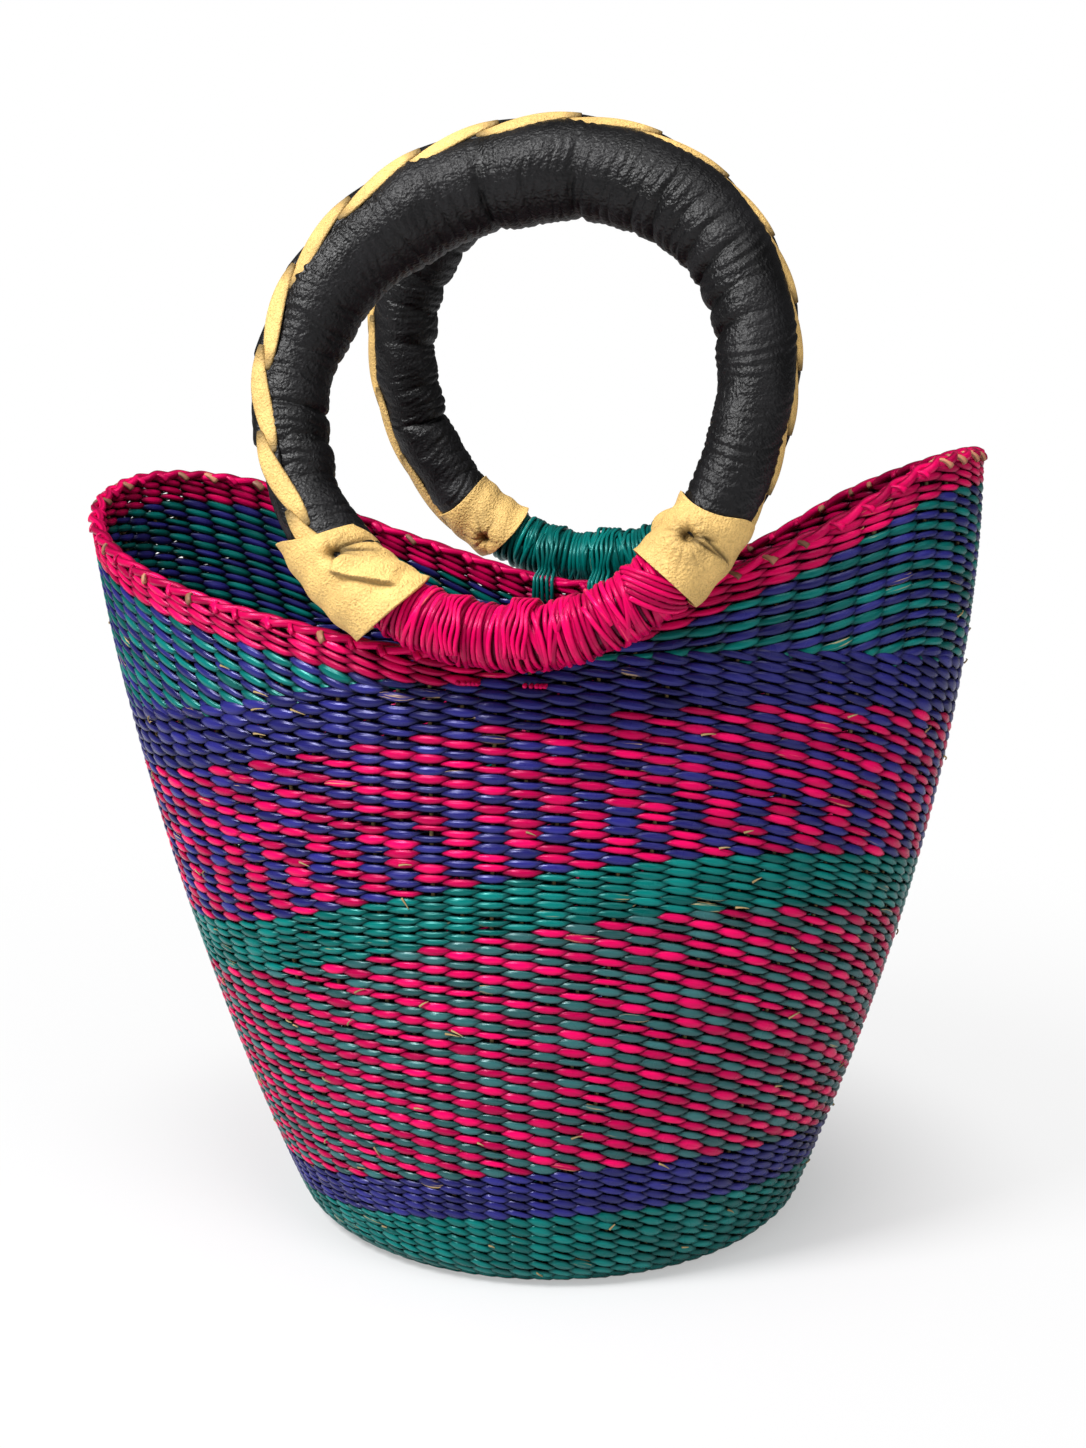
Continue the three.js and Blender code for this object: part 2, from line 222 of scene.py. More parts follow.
def newGroup(name, inputs, outputs):
    group = bpy.data.node_groups.new(name, "ShaderNodeTree")
    for labels, way in ((inputs, "INPUT"), (outputs, "OUTPUT")):
        for label in labels:
            group.interface.new_socket(label, in_out=way, socket_type="NodeSocketFloat")
    return group, group.nodes.new("NodeGroupInput").outputs, group.nodes.new("NodeGroupOutput").inputs


noises = {"streak": (1.0, 3.0), "blotch": (90.0, 2.0), "mottle": (38.0, 4.0), "creases": (6.0, 1.5)}


def fibreGroup():
    # long thin streaks that follow the strand, from noise stretched along the piece's own UV
    tree, source, target = newGroup("strawFibres", ("Length", "Round"), ("Streak", "Blotch"))
    split = addNode(tree, "SeparateXYZ", Vector=addNode(tree, "UVMap", {"uv_map": "strand"}).outputs["UV"])
    along = maths(tree, "DIVIDE", split.outputs["X"], source["Length"])
    turn = maths(tree, "MULTIPLY", split.outputs["Y"], source["Round"])
    joined = addNode(tree, "CombineXYZ", X=along, Y=turn).outputs[0]
    place = addNode(tree, "TexCoord").outputs["Object"]
    for label, vector, (scale, detail) in (("Streak", joined, noises["streak"]),
                                           ("Blotch", place, noises["blotch"])):
        noise = addNode(tree, "TexNoise", Vector=vector, Scale=scale, Detail=detail)
        feed(tree, target[label], noise.outputs["Fac"])
    return tree


def grainGroup():
    # height = half the cells of the hide + soft creases; mottle is slow; all on Object coordinates
    tree, source, target = newGroup("leatherGrain", ("Cells", "Creases"), ("Height", "Mottle"))
    place = addNode(tree, "TexCoord").outputs["Object"]
    cells = addNode(tree, "TexVoronoi", {"feature": "SMOOTH_F1"}, Vector=place, Scale=source["Cells"])
    detail, bend = noises["creases"]
    creases = addNode(tree, "TexNoise", Vector=place, Scale=source["Creases"], Detail=detail, Distortion=bend)
    scale, detail = noises["mottle"]
    mottle = addNode(tree, "TexNoise", Vector=place, Scale=scale, Detail=detail)
    height = maths(tree, "MULTIPLY_ADD", cells.outputs["Distance"], 0.5, creases.outputs["Fac"])
    feed(tree, target["Height"], height)
    feed(tree, target["Mottle"], mottle.outputs["Fac"])
    return tree


fibres = fibreGroup()
grain = grainGroup()


def newMaterial(name):
    material = bpy.data.materials.new(name)
    material.use_nodes = True
    return material, material.node_tree, material.node_tree.nodes["Principled BSDF"].inputs


def finishSurface(tree, shader, values, colour, height, slow):
    # roughness = its middle value + spread * (slow noise - 1/2)
    spread = values["roughSpread"]
    rough = maths(tree, "MULTIPLY_ADD", slow, spread, values["roughness"] - spread / 2)
    feed(tree, shader["Base Color"], colour)
    feed(tree, shader["Roughness"], rough)
    bump = addNode(tree, "Bump", Strength=values["bump"], Distance=values["bumpDepth"], Height=height)
    feed(tree, shader["Normal"], bump.outputs[0])
    feed(tree, shader["Specular IOR Level"], values["specular"])


def strawMaterial(name, colour, values):
    # colour runs from dull to bright by stitch tone and streak, then sinks to the groove colour as painted
    # shade where crest is low; worn stitches show bare straw
    material, tree, shader = newMaterial(name)
    fibre = addNode(tree, "Group", {"node_tree": fibres}, Length=values["fibreLength"],
                    Round=values["fibresRound"]).outputs
    mixed = maths(tree, "MULTIPLY_ADD", fibre["Streak"], values["streakShare"], attribute(tree, "shade"))
    stitch = maths(tree, "SUBTRACT", mixed, values["streakShare"] / 2, clamp=True)
    toneAndShade = mixColour(tree, stitch, tinted(colour, values["dull"]), tinted(colour, values["bright"]))
    # painted shade: where crest is low the colour goes down to the near-black groove colour
    crest = attribute(tree, "crest")
    sunk = maths(tree, "MULTIPLY_ADD", crest, values["sunkGain"], values["sunk"], clamp=True)
    shaded = mixColour(tree, sunk, tinted(colour, values["groove"]), toneAndShade)
    worn = maths(tree, "MULTIPLY", attribute(tree, "wear"), fibre["Streak"])
    bare = maths(tree, "SUBTRACT", worn, values["wearLimit"])
    bareShare = maths(tree, "MULTIPLY", bare, values["wearEdge"], clamp=True)
    final = mixColour(tree, bareShare, shaded, values["bare"])
    finishSurface(tree, shader, values, final, fibre["Streak"], fibre["Blotch"])
    feed(tree, shader["Specular Tint"], values["sheen"])
    return material


# sunk, sunkGain and groove set the painted shade in the grooves
strawValues = {
    "fibreLength": 0.016, "fibresRound": 13.0, "streakShare": 0.5, "dull": 0.48, "bright": 1.15,
    "sunk": -0.10, "sunkGain": 1.40, "groove": 0.02, "wearLimit": 0.55, "wearEdge": 9.0,
    "bare": (0.60, 0.40, 0.17), "roughness": 0.26, "roughSpread": 0.30, "bump": 0.50, "bumpDepth": 0.0006,
    "specular": 0.42, "sheen": (1.0, 1.0, 1.0),
}
straws = {strawName: strawMaterial(strawName + "Straw", palette[strawName], {**strawValues, **changes})
          for strawName, changes in (
              ("pink", {"sheen": (1.0, 0.22, 0.45)}), ("blue", {"sheen": (0.6, 0.6, 1.0)}),
              ("green", {"sheen": (0.35, 1.0, 0.95)}), ("greyGreen", {"sheen": (0.7, 1.0, 1.0)}),
              ("plain", {"dull": 0.35, "bright": 1.0, "roughness": 0.6}),
              ("stub", {"dull": 0.4, "bright": 1.2, "roughness": 0.55}))}


def leatherMaterial(name, colour, values):
    # mottled hide: colour and gloss follow the slow noise, the grain and creases make the bump; a low crest
    # mixes in the fold colour as painted shade
    material, tree, shader = newMaterial(name)
    hide = addNode(tree, "Group", {"node_tree": grain}, Cells=values["cells"],
                   Creases=values["creases"]).outputs
    spread = maths(tree, "SUBTRACT", hide["Mottle"], values["mottleFrom"])
    level = -values["poreLevel"] * values["pores"]
    pores = maths(tree, "MULTIPLY_ADD", hide["Height"], values["pores"], level)
    share = maths(tree, "MULTIPLY_ADD", spread, values["mottleGain"], pores, clamp=True)
    tone = mixColour(tree, share, tinted(colour, values["dull"]), tinted(colour, values["bright"]))
    # painted shade: the fold colour in creases, gathers, pits and under laps
    final = mixColour(tree, attribute(tree, "crest"), tinted(colour, values["fold"]), tone)
    finishSurface(tree, shader, values, final, hide["Height"], hide["Mottle"])
    return material


# fold is the colour share of the painted shade in the leather's hollows
leatherValues = {"mottleFrom": 0.35, "mottleGain": 3.0, "poreLevel": 0.7, "roughSpread": 0.30,
                 "bumpDepth": 0.0012}
blackLeather = leatherMaterial("blackLeather", palette["black"], {
    **leatherValues, "cells": 900.0, "creases": 240.0, "pores": 0.4, "dull": 0.5, "bright": 1.5, "fold": 0.10,
    "roughness": 0.42, "bump": 0.55, "specular": 0.27})
tanLeather = leatherMaterial("tanLeather", palette["tan"], {
    **leatherValues, "cells": 1100.0, "creases": 420.0, "pores": 1.6, "dull": 0.76, "bright": 1.05,
    "fold": 0.20, "roughness": 0.55, "bump": 0.80, "specular": 0.30})
print("materials made")

# The wall, as in the CAD: an ellipse at each height, wider and flatter towards the mouth
wall = {
    "baseRadius": 0.1125, "footCurl": 0.007, "footCurlHeight": 0.011, "thickness": 0.006,
    "mouthHalfWidth": 0.2085, "mouthHalfDepth": 0.086, "bulge": 0.022, "baseShift": 0.0205,
    "wingHeight": 0.350, "dipHeight": 0.272, "flareShare": 1.66, "bellyShare": 0.7,
    "climb": 0.016, "sag": 0.017, "settle": 0.060, "twist": 0.015, "twistSpan": 0.320, "shoulder": 0.262,
    "rimBand": 0.011, "rimBorder": 0.004, "stakeHeight": 0.16, "normalStep": 0.0005, "normalTurn": 0.01,
    "rimShares": (1.0, 0.94, 0.7, 0.23, 0.0, 0.25, 0.6, 0.7, 0.6, 0.41, 0.23, 0.09, 0.0, 0.24, 0.61, 0.96),
}


def wallPoint(angle, height, inset):
    # half axes grow with height by the flare and the belly; the foot curls in at the floor
    rise = np.clip(height / wall["wingHeight"], 0, 1)
    curl = wall["footCurl"] * np.maximum(0, 1 - height / wall["footCurlHeight"]) ** 2
    flare = 1 - (1 - rise) ** wall["flareShare"]
    belly = wall["bulge"] * np.sin(np.pi * rise ** wall["bellyShare"])
    foot = wall["baseRadius"]
    halfWidth = foot + (wall["mouthHalfWidth"] - foot) * flare - curl - inset
    halfDepth = foot + (wall["mouthHalfDepth"] - foot) * rise + belly - curl - inset
    middle = wall["baseShift"] * (1 - rise)
    return np.stack([middle + halfWidth * np.cos(angle), halfDepth * np.sin(angle), height + 0 * angle], -1)


def wallNormal(angle, height):
    # cross product of the steps along the row and up the wall
    step, turn = wall["normalStep"], wall["normalTurn"]
    along = wallPoint(angle + turn, height, 0) - wallPoint(angle - turn, height, 0)
    rising = wallPoint(angle, height + step, 0) - wallPoint(angle, np.maximum(height - step, 0), 0)
    return unit(np.cross(along, rising))


def rowHeight(front, angle):
    # the rows climb to the right, sag at the two ends, and twist most at half their height
    sag = wall["sag"] * (1 - np.exp(-front / wall["settle"])) * np.cos(angle) ** 2
    climb = wall["climb"] * np.sqrt(front / wall["shoulder"]) * np.cos(angle)
    twist = wall["twist"] * np.sin(np.pi * front / wall["twistSpan"]) * np.sin(2 * angle)
    return front - sag + climb - twist


def rimHeight(angle):
    # a smooth closed curve through the rise shares
    shares = np.array(wall["rimShares"])
    place = (angle / (2 * np.pi)) % 1 * len(shares)
    index = np.floor(place).astype(int)
    t = place - index
    a, b, c, d = (shares[(index + k) % len(shares)] for k in (-1, 0, 1, 2))
    curve = b + t * ((c - a) / 2 + t * (a - 2.5 * b + 2 * c - d / 2 + t * ((d - a) / 2 + 1.5 * (b - c))))
    return wall["dipHeight"] + (wall["wingHeight"] - wall["dipHeight"]) * curve


def rimBandLow(angle):
    return rimHeight(angle) - wall["rimBorder"] - wall["rimBand"]


# The weave: two strands turn round each other, half a turn at each stake
# behindShade, behindFrom, fade and edge set painted shade on the strands
weave = {
    "stakes": 74, "stepsPerStake": 6, "sides": 8, "throw": 0.0019, "slant": 0.00105, "slantPitch": 0.00395,
    "flatten": 0.08, "bias": 0.14, "halfDepth": 0.00122, "plump": 1.00, "waist": 0.60, "unevenWidth": 0.13,
    "unevenHeight": 0.00024, "dive": 0.60, "taper": 0.70, "onEdge": 0.55, "tuck": 0.75,
    "fade": 0.45, "edge": 0.25, "reach": 0.5, "tuckedEnd": 1.25, "shortest": 1.5, "footWiden": 1.25,
    "endTaper": 2.5, "thinEnd": 0.12, "behindShade": 0.9, "behindFrom": -0.2, "lowest": 0.0012,
    "floor": 0.0002, "uvSpread": 7, "seed": 11, "tableSteps": 2001,
}
rng = np.random.default_rng(weave["seed"])


def stakeTable():
    # running length round the wall at mid height gives stakes of equal spacing
    angles = np.linspace(0, 2 * np.pi, weave["tableSteps"])
    return angles, lengthAlong(wallPoint(angles, wall["stakeHeight"], 0), False)


tableAngles, tableLengths = stakeTable()


def angleAt(t):
    # stake number to angle, wrapped
    turns = np.floor(t / weave["stakes"])
    share = t / weave["stakes"] - turns
    return np.interp(share * tableLengths[-1], tableLengths, tableAngles) + turns * 2 * np.pi


def twinedStrand(height, pitch, phase, fromStake, toStake, closed, covered, steep):
    # swing = (cos(pi t + phase) + bias) / (1 + bias), out = throw * |swing| ** dive with swing's sign,
    # up = -slant * (sin - flatten * sin(3 ..)), t in stakes; a stitch is longer in front than behind;
    # width * hypot(1, slope of the foot's curl); crest = painted shade, 1 on the exposed side, 0 in the
    # grooves
    steps = int(round((toStake - fromStake) * weave["stepsPerStake"]))
    t = fromStake + np.arange(steps if closed else steps + 1) / weave["stepsPerStake"]
    angle = angleAt(t)
    count = weave["stakes"] + 2
    nearest = np.round(t).astype(int) % weave["stakes"]
    jitter, size = rng.normal(size=count), rng.normal(size=count)
    tone, worn = rng.random(count), rng.random(count)
    whole = np.floor(t).astype(int) % weave["stakes"]
    share = t - np.floor(t)
    ease = share * share * (3 - 2 * share)

    def smooth(table):
        return table[whole] * (1 - ease) + table[(whole + 1) % weave["stakes"]] * ease

    spacing = pitch(angle)
    turn = np.pi * t + phase
    swing = (np.cos(turn) + weave["bias"]) / (1 + weave["bias"])
    crest = np.abs(np.cos(turn)) ** weave["taper"]
    drop = np.sin(turn) - weave["flatten"] * np.sin(3 * turn)
    up = -weave["slant"] * steep * drop * spacing / weave["slantPitch"]
    up = up + weave["unevenHeight"] * smooth(jitter)
    out = weave["throw"] * np.sign(swing) * np.abs(swing) ** weave["dive"]
    if covered:
        out = out * (1 - weave["tuck"] * covered(angle))
    level = np.maximum(height(angle) + up, weave["lowest"])
    path = wallPoint(angle, level, wall["thickness"] / 2 - out)
    curlShare = np.maximum(0, 1 - level / wall["footCurlHeight"])
    footSlope = weave["footWiden"] * (2 * wall["footCurl"] / wall["footCurlHeight"] * curlShare)
    fullness = weave["waist"] + (weave["plump"] - weave["waist"]) * crest
    width = 0.5 * spacing * np.hypot(1, footSlope) * fullness * (1 + weave["unevenWidth"] * smooth(size))
    depth = weave["halfDepth"] * (1 + weave["onEdge"] * (1 - crest))
    if not closed:
        taper = np.clip(np.minimum(t - t[0], t[-1] - t) * weave["endTaper"], weave["thinEnd"], 1)
        width, depth = width * taper, depth * taper
    # painted shade: the stitch tone is darkened to behindShade where the strand runs behind the stakes
    dim = np.where(np.cos(turn) > weave["behindFrom"], 1.0, weave["behindShade"])
    tube = strand(path, wallNormal(angle, level), width, depth, weave["sides"], closed,
                  offset=rng.random() * weave["uvSpread"], shade=tone[nearest] * dim, wear=worn[nearest] ** 3)
    tube["rings"][..., 2] = np.maximum(tube["rings"][..., 2], weave["floor"])
    # painted shade: each side of the ring is lit only where the strand swings out to that side, and its edges
    # go dark
    face = np.sin(roundAngles(weave["sides"]))[None, :]
    seen = np.clip(swing[:, None] * np.where(face > 0, 1, -1), 0, 1) ** weave["fade"]
    tube["crest"] = seen * np.clip((1 + weave["edge"]) * np.abs(face) - weave["edge"], 0, 1)
    return tube


def openRanges(shown):
    # runs of stakes for which shown is true, going round the wall
    count = len(shown)
    if shown.all():
        return [(0, count, True)]
    if not shown.any():
        return []
    first = int(np.argmin(shown))
    rolled = np.roll(shown, -first).astype(int)
    changes = np.diff(np.concatenate([[0], rolled, [0]]))
    begins, ends = np.where(changes == 1)[0], np.where(changes == -1)[0]
    return [(first + b, first + e - 1, False) for b, e in zip(begins, ends)]


def twineRow(height, pitch, swap, shows=None, covered=None, reach=weave["reach"], steep=1.0):
    # both strands of one row, cut to where the row shows; returns (first strand, second strand)
    stakes = np.arange(weave["stakes"])
    shown = np.ones(weave["stakes"], bool) if shows is None else shows(angleAt(stakes))
    pair = ([], [])
    for begin, end, closed in openRanges(shown):
        low, high = (begin, end) if closed else (begin - reach, end + reach)
        if high - low < weave["shortest"]:
            continue
        for k in (0, 1):
            pair[k].append(twinedStrand(height, pitch, np.pi * (k + swap), low, high, closed, covered, steep))
    return pair


def bandRows(low, high, count):
    # row centres share the band's height; pitch follows the rows' own closeness at each angle
    edges = np.linspace(low, high, count + 1)
    rows = []
    for k in range(count):
        middle = (edges[k] + edges[k + 1]) / 2
        rows.append((lambda angle, m=middle: rowHeight(m, angle),
                     lambda angle, a=edges[k], b=edges[k + 1]: rowHeight(b, angle) - rowHeight(a, angle)))
    return rows


bands = {
    "foot": {"low": 0.0, "high": 0.032, "rows": 8, "node": "foot_green_band", "slot": "green_straw",
             "colours": ("green",)},
    "lowerBlue": {"low": 0.032, "high": 0.051, "rows": 5, "node": "lower_blue_band", "slot": "blue_straw",
                  "colours": ("blue",)},
    "lowerCheck": {"low": 0.051, "high": 0.152, "rows": 26, "node": "lower_check_band", "slot": "pink_straw",
                   "colours": ("pink", "greyGreen")},
    "middleGreen": {"low": 0.152, "high": 0.174, "rows": 6, "node": "middle_green_band",
                    "slot": "green_straw", "colours": ("green",)},
    "upperCheck": {"low": 0.174, "high": 0.238, "rows": 16, "node": "upper_check_band", "slot": "pink_straw",
                   "colours": ("pink", "blue"), "swaps": (0, 1, 1, 0, 0, 0, 1, 1, 0, 1, 0, 1, 0, 1, 0, 1)},
    "shoulder": {"low": 0.238, "high": 0.262, "rows": 5, "node": "shoulder_blue_band", "slot": "blue_straw",
                 "colours": ("blue",), "underRim": {"shownBelow": 0.25, "coverFrom": 1.1}},
}


def weaveBand(name, band):
    # swaps say which strand of a row starts in front; a row under the rim shows where it lies below it
    swaps = band.get("swaps", [k % 2 for k in range(band["rows"])])
    first, second = [], []
    for (height, pitch), swap in zip(bandRows(band["low"], band["high"], band["rows"]), swaps):
        shows, covered = None, None
        if "underRim" in band:
            limits = band["underRim"]
            shows = lambda angle, h=height, p=pitch: (
                h(angle) - limits["shownBelow"] * p(angle) < rimBandLow(angle))
            covered = lambda angle, h=height, p=pitch: np.clip(
                limits["coverFrom"] - (rimBandLow(angle) - h(angle)) / p(angle), 0, 1)
        one, two = twineRow(height, pitch, swap, shows, covered, weave["tuckedEnd"])
        first += one
        second += two
    colours = [straws[colour] for colour in band["colours"]]
    if len(colours) == 1:
        joinTubes(name + "Rows", first + second, colours[0], "basket", (band["node"],))
    else:
        joinTubes(name + "RowsPink", first, colours[0], "basket", (band["node"],))
        joinTubes(name + "RowsDark", second, colours[1], "basket")


for bandName, bandValues in bands.items():
    weaveBand(bandName, bandValues)
print("bands woven")

# The wings: rows that run along the rim and end stepwise on the shoulder
wings = {"pitch": 0.0040, "rows": 21, "clear": -0.0014, "steep": 1.12, "coverFrom": 0.9, "coverLift": 0.0024}


def weaveWings():
    green, blue = {-1: [], 1: []}, {-1: [], 1: []}
    for k in range(wings["rows"]):
        height = lambda angle, drop=(k + 0.5) * wings["pitch"]: rimBandLow(angle) - drop
        pitch = lambda angle: wings["pitch"] + 0 * angle
        for side in (-1, 1):
            shows = lambda angle, s=side, h=height: (
                (h(angle) > rowHeight(wall["shoulder"], angle) + wings["clear"]) & (s * np.cos(angle) > 0))
            covered = lambda angle, h=height: np.clip(wings["coverFrom"] - (
                h(angle) - rowHeight(wall["shoulder"], angle) + wings["coverLift"]) / wings["pitch"], 0, 1)
            one, two = twineRow(height, pitch, k % 2, shows, covered, weave["tuckedEnd"], wings["steep"])
            green[side] += one
            blue[side] += two
    for side, label in ((-1, "left"), (1, "right")):
        joinTubes(label + "WingGreen", green[side], straws["green"], "basket",
                  (label + "_wing_stripes",))
        joinTubes(label + "WingBlue", blue[side], straws["blue"], "basket")


weaveWings()
print("wings woven")

# The rim: three pink rows, then a rope of two strands that the stake ends fold over
rim = {
    "rows": 3, "ropeSteps": 8, "ropeDrop": 0.0024, "ropeThrow": 0.0013, "ropeRadius": 0.0019, "ropeSides": 7,
    "riseShare": 0.6, "outShare": 1.6, "flat": 0.85, "loopSteps": 12, "loopDrop": 0.0046,
    "loopRadius": 0.0015, "loopReach": 0.0031, "loopOut": 0.0034, "loopFlat": 0.75, "loopSides": 6,
    "leanFrom": 0.28, "leanOver": 0.5, "leanSpread": 0.08, "cutShare": 0.45, "reachFrom": 0.9,
    "reachSpread": 0.1, "thickFrom": 0.8, "thickSpread": 0.6,
}


def weaveRim():
    tubes = []
    rowPitch = wall["rimBand"] / rim["rows"]
    for k in range(rim["rows"]):
        one, two = twineRow(lambda angle, lift=(k + 0.5) * rowPitch: rimBandLow(angle) + lift,
                            lambda angle: rowPitch + 0 * angle, k % 2, steep=wings["steep"])
        tubes += one + two
    joinTubes("rimPinkRows", tubes, straws["pink"], "basket", ("rim_pink_band",))


def foldedBorder():
    # rope: two strands half a turn apart along the top edge; loops: arcs over the rope at each stake
    ropes, loops, stubs = [], [], []
    t = np.arange(weave["stakes"] * rim["ropeSteps"]) / rim["ropeSteps"]
    angle = angleAt(t)
    for k in (0, 1):
        turn = np.pi * t + np.pi * k
        level = rimHeight(angle) - rim["ropeDrop"] + rim["ropeThrow"] * np.sin(turn) * rim["riseShare"]
        out = rim["outShare"] * rim["ropeThrow"] * np.cos(turn)
        path = wallPoint(angle, level, wall["thickness"] / 2 - out)
        tone = rng.random(weave["stakes"])[np.round(t).astype(int) % weave["stakes"]]
        radius = rim["ropeRadius"]
        ropes.append(strand(path, wallNormal(angle, level), radius, radius * rim["flat"], rim["ropeSides"],
                            True, shade=tone, wear=0.3, crest=0.8))
    share = np.linspace(0, 1, rim["loopSteps"])
    over = np.pi * share
    for stake in range(weave["stakes"]):
        lean = rim["leanFrom"] + rim["leanOver"] * share + rim["leanSpread"] * rng.normal()
        here = angleAt(stake + lean)
        foot = rimHeight(here) - rim["loopDrop"]
        tall = rim["reachFrom"] + rim["reachSpread"] * rng.random()
        level = foot + rim["loopReach"] * np.sin(over) * tall
        path = wallPoint(here, level, wall["thickness"] / 2 + rim["loopOut"] * np.cos(over))
        normal = unit(path - wallPoint(here, foot, wall["thickness"] / 2))
        target = stubs if rng.random() < rim["cutShare"] else loops
        thickness = rim["loopRadius"] * (rim["thickFrom"] + rim["thickSpread"] * rng.random())
        target.append(strand(path, normal, thickness, rim["loopRadius"] * rim["loopFlat"], rim["loopSides"],
                             shade=rng.random(), wear=0.5, crest=0.9))
    joinTubes("rimRope", ropes + loops, straws["pink"], "basket", ("rim_border",))
    joinTubes("stakeEnds", stubs, straws["stub"], "basket")


stakeValues = {"steps": 30, "low": 0.003, "short": 0.007, "radius": 0.0010, "sides": 5}


def standingStakes():
    # each stake runs up the middle of the wall from the floor to the rim; crest 0.5 paints it darker, as
    # shade inside the wall
    values = stakeValues
    tubes = []
    share = np.linspace(0, 1, values["steps"])
    for stake in range(weave["stakes"]):
        angle = angleAt(np.full(len(share), float(stake)))
        level = values["low"] + share * (rimHeight(angle) - values["short"])
        tubes.append(strand(wallPoint(angle, level, wall["thickness"] / 2), wallNormal(angle, level),
                            values["radius"], values["radius"], values["sides"], shade=rng.random(), wear=0.4,
                            crest=0.5))
    joinTubes("standingStakes", tubes, straws["plain"], "basket")


looseEnds = {
    "count": 120, "steps": 9, "sides": 5, "levels": (0.02, 0.95), "below": 0.012, "length": (0.003, 0.0065),
    "tilt": 0.5, "reach": 0.15, "lift": 0.0003, "stand": 0.0002, "curl": 0.0012, "halfWidth": 0.0005,
    "widest": 1.1, "narrow": 0.8, "flat": 0.7, "curls": (0.1, 1), "curlTurn": 0.8, "tones": (0.3, 1),
    "seed": 31,
}


def looseStraws():
    # short undyed ends that stand out of the weave: out = stand + curl * sin(pi * t * curlTurn)
    values = looseEnds
    local = np.random.default_rng(values["seed"])
    tubes = []
    share = np.linspace(0, 1, values["steps"])
    for _ in range(values["count"]):
        angle = local.uniform(0, 2 * np.pi)
        level = local.uniform(*values["levels"]) * (rimHeight(np.array(angle)) - values["below"])
        length = local.uniform(*values["length"])
        tilt = local.normal() * values["tilt"]
        here = angle + length * np.cos(tilt) * (share - 0.5) / values["reach"]
        height = level + length * np.sin(tilt) * (share - 0.5) + values["lift"] * np.sin(np.pi * share)
        out = values["stand"] + values["curl"] * local.uniform(*values["curls"]) * np.sin(
            np.pi * share * values["curlTurn"])
        tubes.append(strand(wallPoint(here, height, -out), wallNormal(here, height),
                            values["halfWidth"] * (values["widest"] - share * values["narrow"]),
                            values["halfWidth"] * values["flat"], values["sides"],
                            shade=local.uniform(*values["tones"]), wear=0.2, crest=0.9))
    joinTubes("looseStrawEnds", tubes, straws["plain"], "basket")


weaveRim()
foldedBorder()
standingStakes()
looseStraws()
print("rim made")

# The base: rings of the same twining on spokes, more spokes further out
base = {
    "centreX": 0.0205, "radius": 0.1040, "level": 0.0031, "rows": 25, "steps": 5, "sides": 8, "throw": 0.0010,
    "halfDepth": 0.0012, "slant": 0.0010, "waist": 0.64, "plump": 1.08,
    "spokes": ((0.030, 18), (0.060, 36), (1.0, 74)),
    "spoke": {"count": 36, "past": 0.002, "steps": 12, "halfWidth": 0.0011, "halfDepth": 0.0009, "sides": 5},
}
upward = np.array([[0, 0, 1.0]])


def baseRow(radius, pitch, phase, spokes):
    # ring of radius r: height = level + throw * cos, radius = r - slant * sin; crest = cos squared, painted
    # shade where the strands cross
    t = np.arange(spokes * base["steps"]) / base["steps"]
    angle = 2 * np.pi * t / spokes
    turn = np.pi * t + phase
    reach = radius - base["slant"] * np.sin(turn)
    path = np.stack([base["centreX"] + reach * np.cos(angle), reach * np.sin(angle),
                     base["level"] + base["throw"] * np.cos(turn)], -1)
    crest = np.cos(turn) ** 2
    tone = rng.random(spokes)[np.round(t).astype(int) % spokes]
    width = 0.5 * pitch * (base["waist"] + (base["plump"] - base["waist"]) * crest)
    tube = strand(path, upward, width, base["halfDepth"], base["sides"], True,
                  offset=rng.random() * weave["uvSpread"], shade=tone, wear=tone ** 3, crest=crest)
    tube["rings"][..., 2] = np.maximum(tube["rings"][..., 2], 0.0)
    return tube


def weaveBase():
    tubes, spokes = [], []
    pitch = base["radius"] / (base["rows"] + 0.5)
    for k in range(base["rows"]):
        radius = (k + 1) * pitch
        count = next(number for limit, number in base["spokes"] if radius < limit)
        for strandPhase in (0, np.pi):
            tubes.append(baseRow(radius, pitch, strandPhase + np.pi * (k % 2), count))
    joinTubes("baseRows", tubes, straws["green"], "basket", ("base_disc",))
    values = base["spoke"]
    reach = np.linspace(0, base["radius"] + values["past"], values["steps"])
    for k in range(values["count"]):
        angle = 2 * np.pi * k / values["count"]
        path = np.stack([base["centreX"] + reach * math.cos(angle), reach * math.sin(angle),
                         base["level"] + 0 * reach], -1)
        # crest 0.5 paints the spokes darker, as shade under the rows
        spokes.append(strand(path, upward, values["halfWidth"], values["halfDepth"], values["sides"],
                             shade=rng.random(), wear=0.3, crest=0.5))
    joinTubes("baseSpokes", spokes, straws["plain"], "basket")


weaveBase()
print("base woven")

# The hoops, as in the CAD: rings that stand on the rim, thicker leather at the top
hoopValues = {"aboveDip": 0.008, "standoff": 0.014, "flatSpan": 0.55}
hoops = {
    "front": {
        "side": -1, "radius": 0.0993, "shift": 0.0301, "lean": math.radians(22.5),
        "oval": (0.009, -0.003, 0.016, 0.02), "flat": 0.022, "roll": math.radians(7), "windingEnd": 35.5,
        "cuffEnd": 59.0, "sideRadius": 0.0132, "topRadius": 0.0200, "straw": straws["pink"],
        "slot": "pink_straw", "body": "front_handle", "seed": 3,
        "folds": (101, 110, 118, 125, 131, 138, 145, 163, 188, 268, 276, 287)},
    "rear": {
        "side": 1, "radius": 0.0961, "shift": 0.0004, "lean": math.radians(3.6),
        "oval": (0.031, 0.036, 0, 0), "flat": 0, "roll": math.radians(2), "windingEnd": 28.0,
        "cuffEnd": 45.0, "sideRadius": 0.0135, "topRadius": 0.0183, "straw": straws["green"],
        "slot": "green_straw", "body": "rear_handle", "seed": 5,
        "folds": (95, 118, 160, 176, 214, 226, 240, 249, 261, 275, 288)},
}


